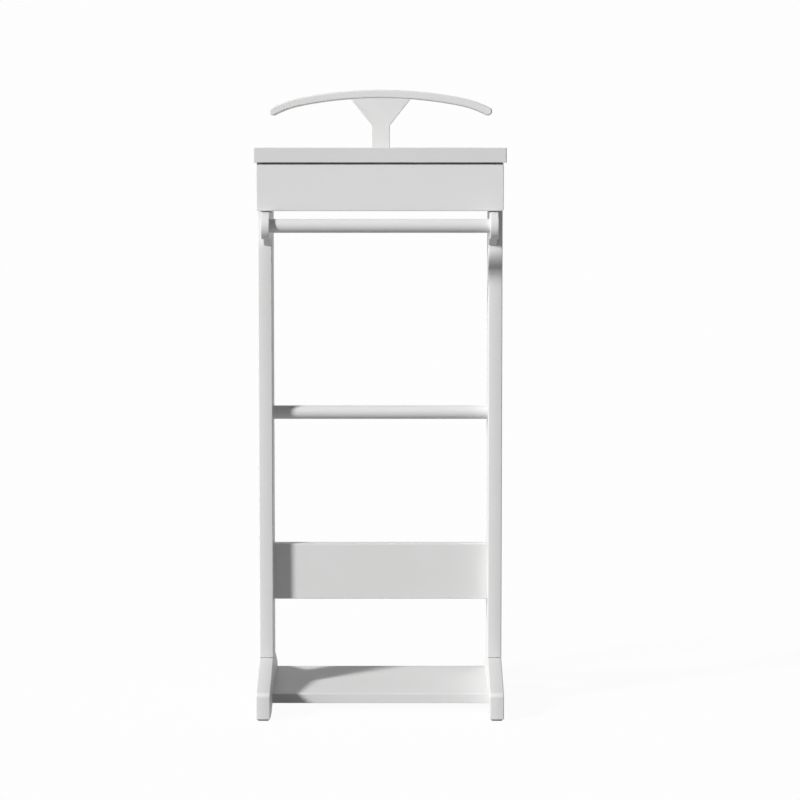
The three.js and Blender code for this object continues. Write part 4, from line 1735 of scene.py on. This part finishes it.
@dataclass
class Studio:
    """White room with a soft key lamp at the upper left front, and the camera."""

    white: float = 0.985
    ambient: float = 0.10
    rear_ambient: float = 0.6
    floor_half: float = 20.0
    floor_tone: float = 0.45
    floor_shadow: float = 0.08
    floor_lit: float = 0.34
    lamps: tuple[Lamp, ...] = (Lamp("key_lamp", 3.95, 9.0, -54.0, 29.0),)
    camera_place: Triple = (0.036, -5.055, 1.0034)
    camera_dip: float = 4.94
    lens: float = 124.29
    sensor: float = 36.0
    sight: float = 100.0

    def build(self) -> None:
        """Sets up the world, the floor, the lamps and the camera."""
        self._world()
        self._floor()
        for lamp in self.lamps:
            lamp.build()
        self._camera()
        bpy.context.scene.view_settings.view_transform = "Standard"

    def _seen(self, bench: Bench) -> Signal:
        """1 for rays from the camera and for those that mirror or pass the room, 0 for others.

        Args:
            bench: The tree that asks.

        Returns:
            The signal.
        """
        path = bench.add("ShaderNodeLightPath")
        kinds = ("Is Camera Ray", "Is Glossy Ray", "Is Transmission Ray")
        camera, glossy, through = (Signal(bench, path.outputs[kind]) for kind in kinds)
        return (camera + glossy + through).within(0, 1)

    def _world(self) -> None:
        """White backdrop, and a dimmer white that lights the object from all round.

        The dimmer white is the ambient level, plus the rear level times the cube of the ray's
        share of +Y, so that the rear wall of the room lights the stand's back.
        """
        world = bpy.data.worlds.new("white_room")
        world.use_nodes = True
        bpy.context.scene.world = world
        bench = Bench(world.node_tree)
        ray = bench.add("ShaderNodeTexCoord").outputs["Generated"]
        parts = bench.add("ShaderNodeSeparateXYZ", None, {"Vector": ray})
        rearward = Signal(bench, parts.outputs["Y"]).within(0, 1)
        level = rearward * rearward * rearward * self.rear_ambient + self.ambient
        strength = self._seen(bench) * (self.white - level) + level
        inputs = {"Color": WHITE, "Strength": strength}
        light = bench.add("ShaderNodeBackground", None, inputs)
        output = {"Surface": light.outputs["Background"]}
        bench.add("ShaderNodeOutputWorld", None, output)

    def _floor(self) -> None:
        """Pale floor that shows white and keeps a light shadow.

        A ray that sees the room finds the floor's paint by the share floor_shadow, and else a
        glow whose level makes lit paint and glow together as white as the world.
        """
        mesh = bpy.data.meshes.new("pale_floor")
        reach = self.floor_half
        corners = [(-reach, -reach, 0), (reach, -reach, 0), (reach, reach, 0), (-reach, reach, 0)]
        mesh.from_pydata(corners, [], [(0, 1, 2, 3)])
        floor = bpy.data.objects.new("pale_floor", mesh)
        bpy.context.scene.collection.objects.link(floor)
        material, bench = new_material("pale_floor")
        tone = (self.floor_tone, self.floor_tone, self.floor_tone, 1)
        paint = bench.add("ShaderNodeBsdfDiffuse", None, {"Color": tone})
        level = (self.white - self.floor_shadow * self.floor_lit) / (1 - self.floor_shadow)
        glow = bench.add("ShaderNodeEmission", None, {"Color": WHITE, "Strength": level})
        share = {0: 1 - self.floor_shadow, 1: paint.outputs[0], 2: glow.outputs[0]}
        shown = bench.add("ShaderNodeMixShader", None, share)
        mix = {0: self._seen(bench), 1: paint.outputs[0], 2: shown.outputs[0]}
        surface = bench.add("ShaderNodeMixShader", None, mix)
        bench.add("ShaderNodeOutputMaterial", None, {"Surface": surface.outputs[0]})
        mesh.materials.append(material)

    def _camera(self) -> None:
        """Camera in front of the stand, just below its top and tipped down a little."""
        data = bpy.data.cameras.new("camera")
        data.sensor_width = self.sensor
        data.lens = self.lens
        data.clip_end = self.sight
        camera = bpy.data.objects.new("camera", data)
        camera.location = self.camera_place
        camera.rotation_euler = (math.radians(90 - self.camera_dip), 0, 0)
        bpy.context.scene.collection.objects.link(camera)
        bpy.context.scene.camera = camera


def plain(box: Any) -> list[Any]:
    """A box of corners as plain lists of numbers."""
    return [[float(number) for number in corner] for corner in box]


def main() -> None:
    """Builds the stand and the studio."""
    logging.basicConfig(level=logging.INFO, format="%(name)s: %(message)s")
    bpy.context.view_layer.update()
    paint = Paintshop()
    assemblies = [
        SideFrame(paint, Side.LEFT),
        SideFrame(paint, Side.RIGHT),
        ShoeShelf(paint),
        CrossPanel(paint),
        Bars(paint),
        TopCase(paint),
        Drawer(paint),
        Hanger(paint),
    ]
    for assembly in assemblies:
        assembly.build()
        LOG.info("%s is done", type(assembly).__name__)
    Studio().build()


if __name__ == "__main__":
    main()
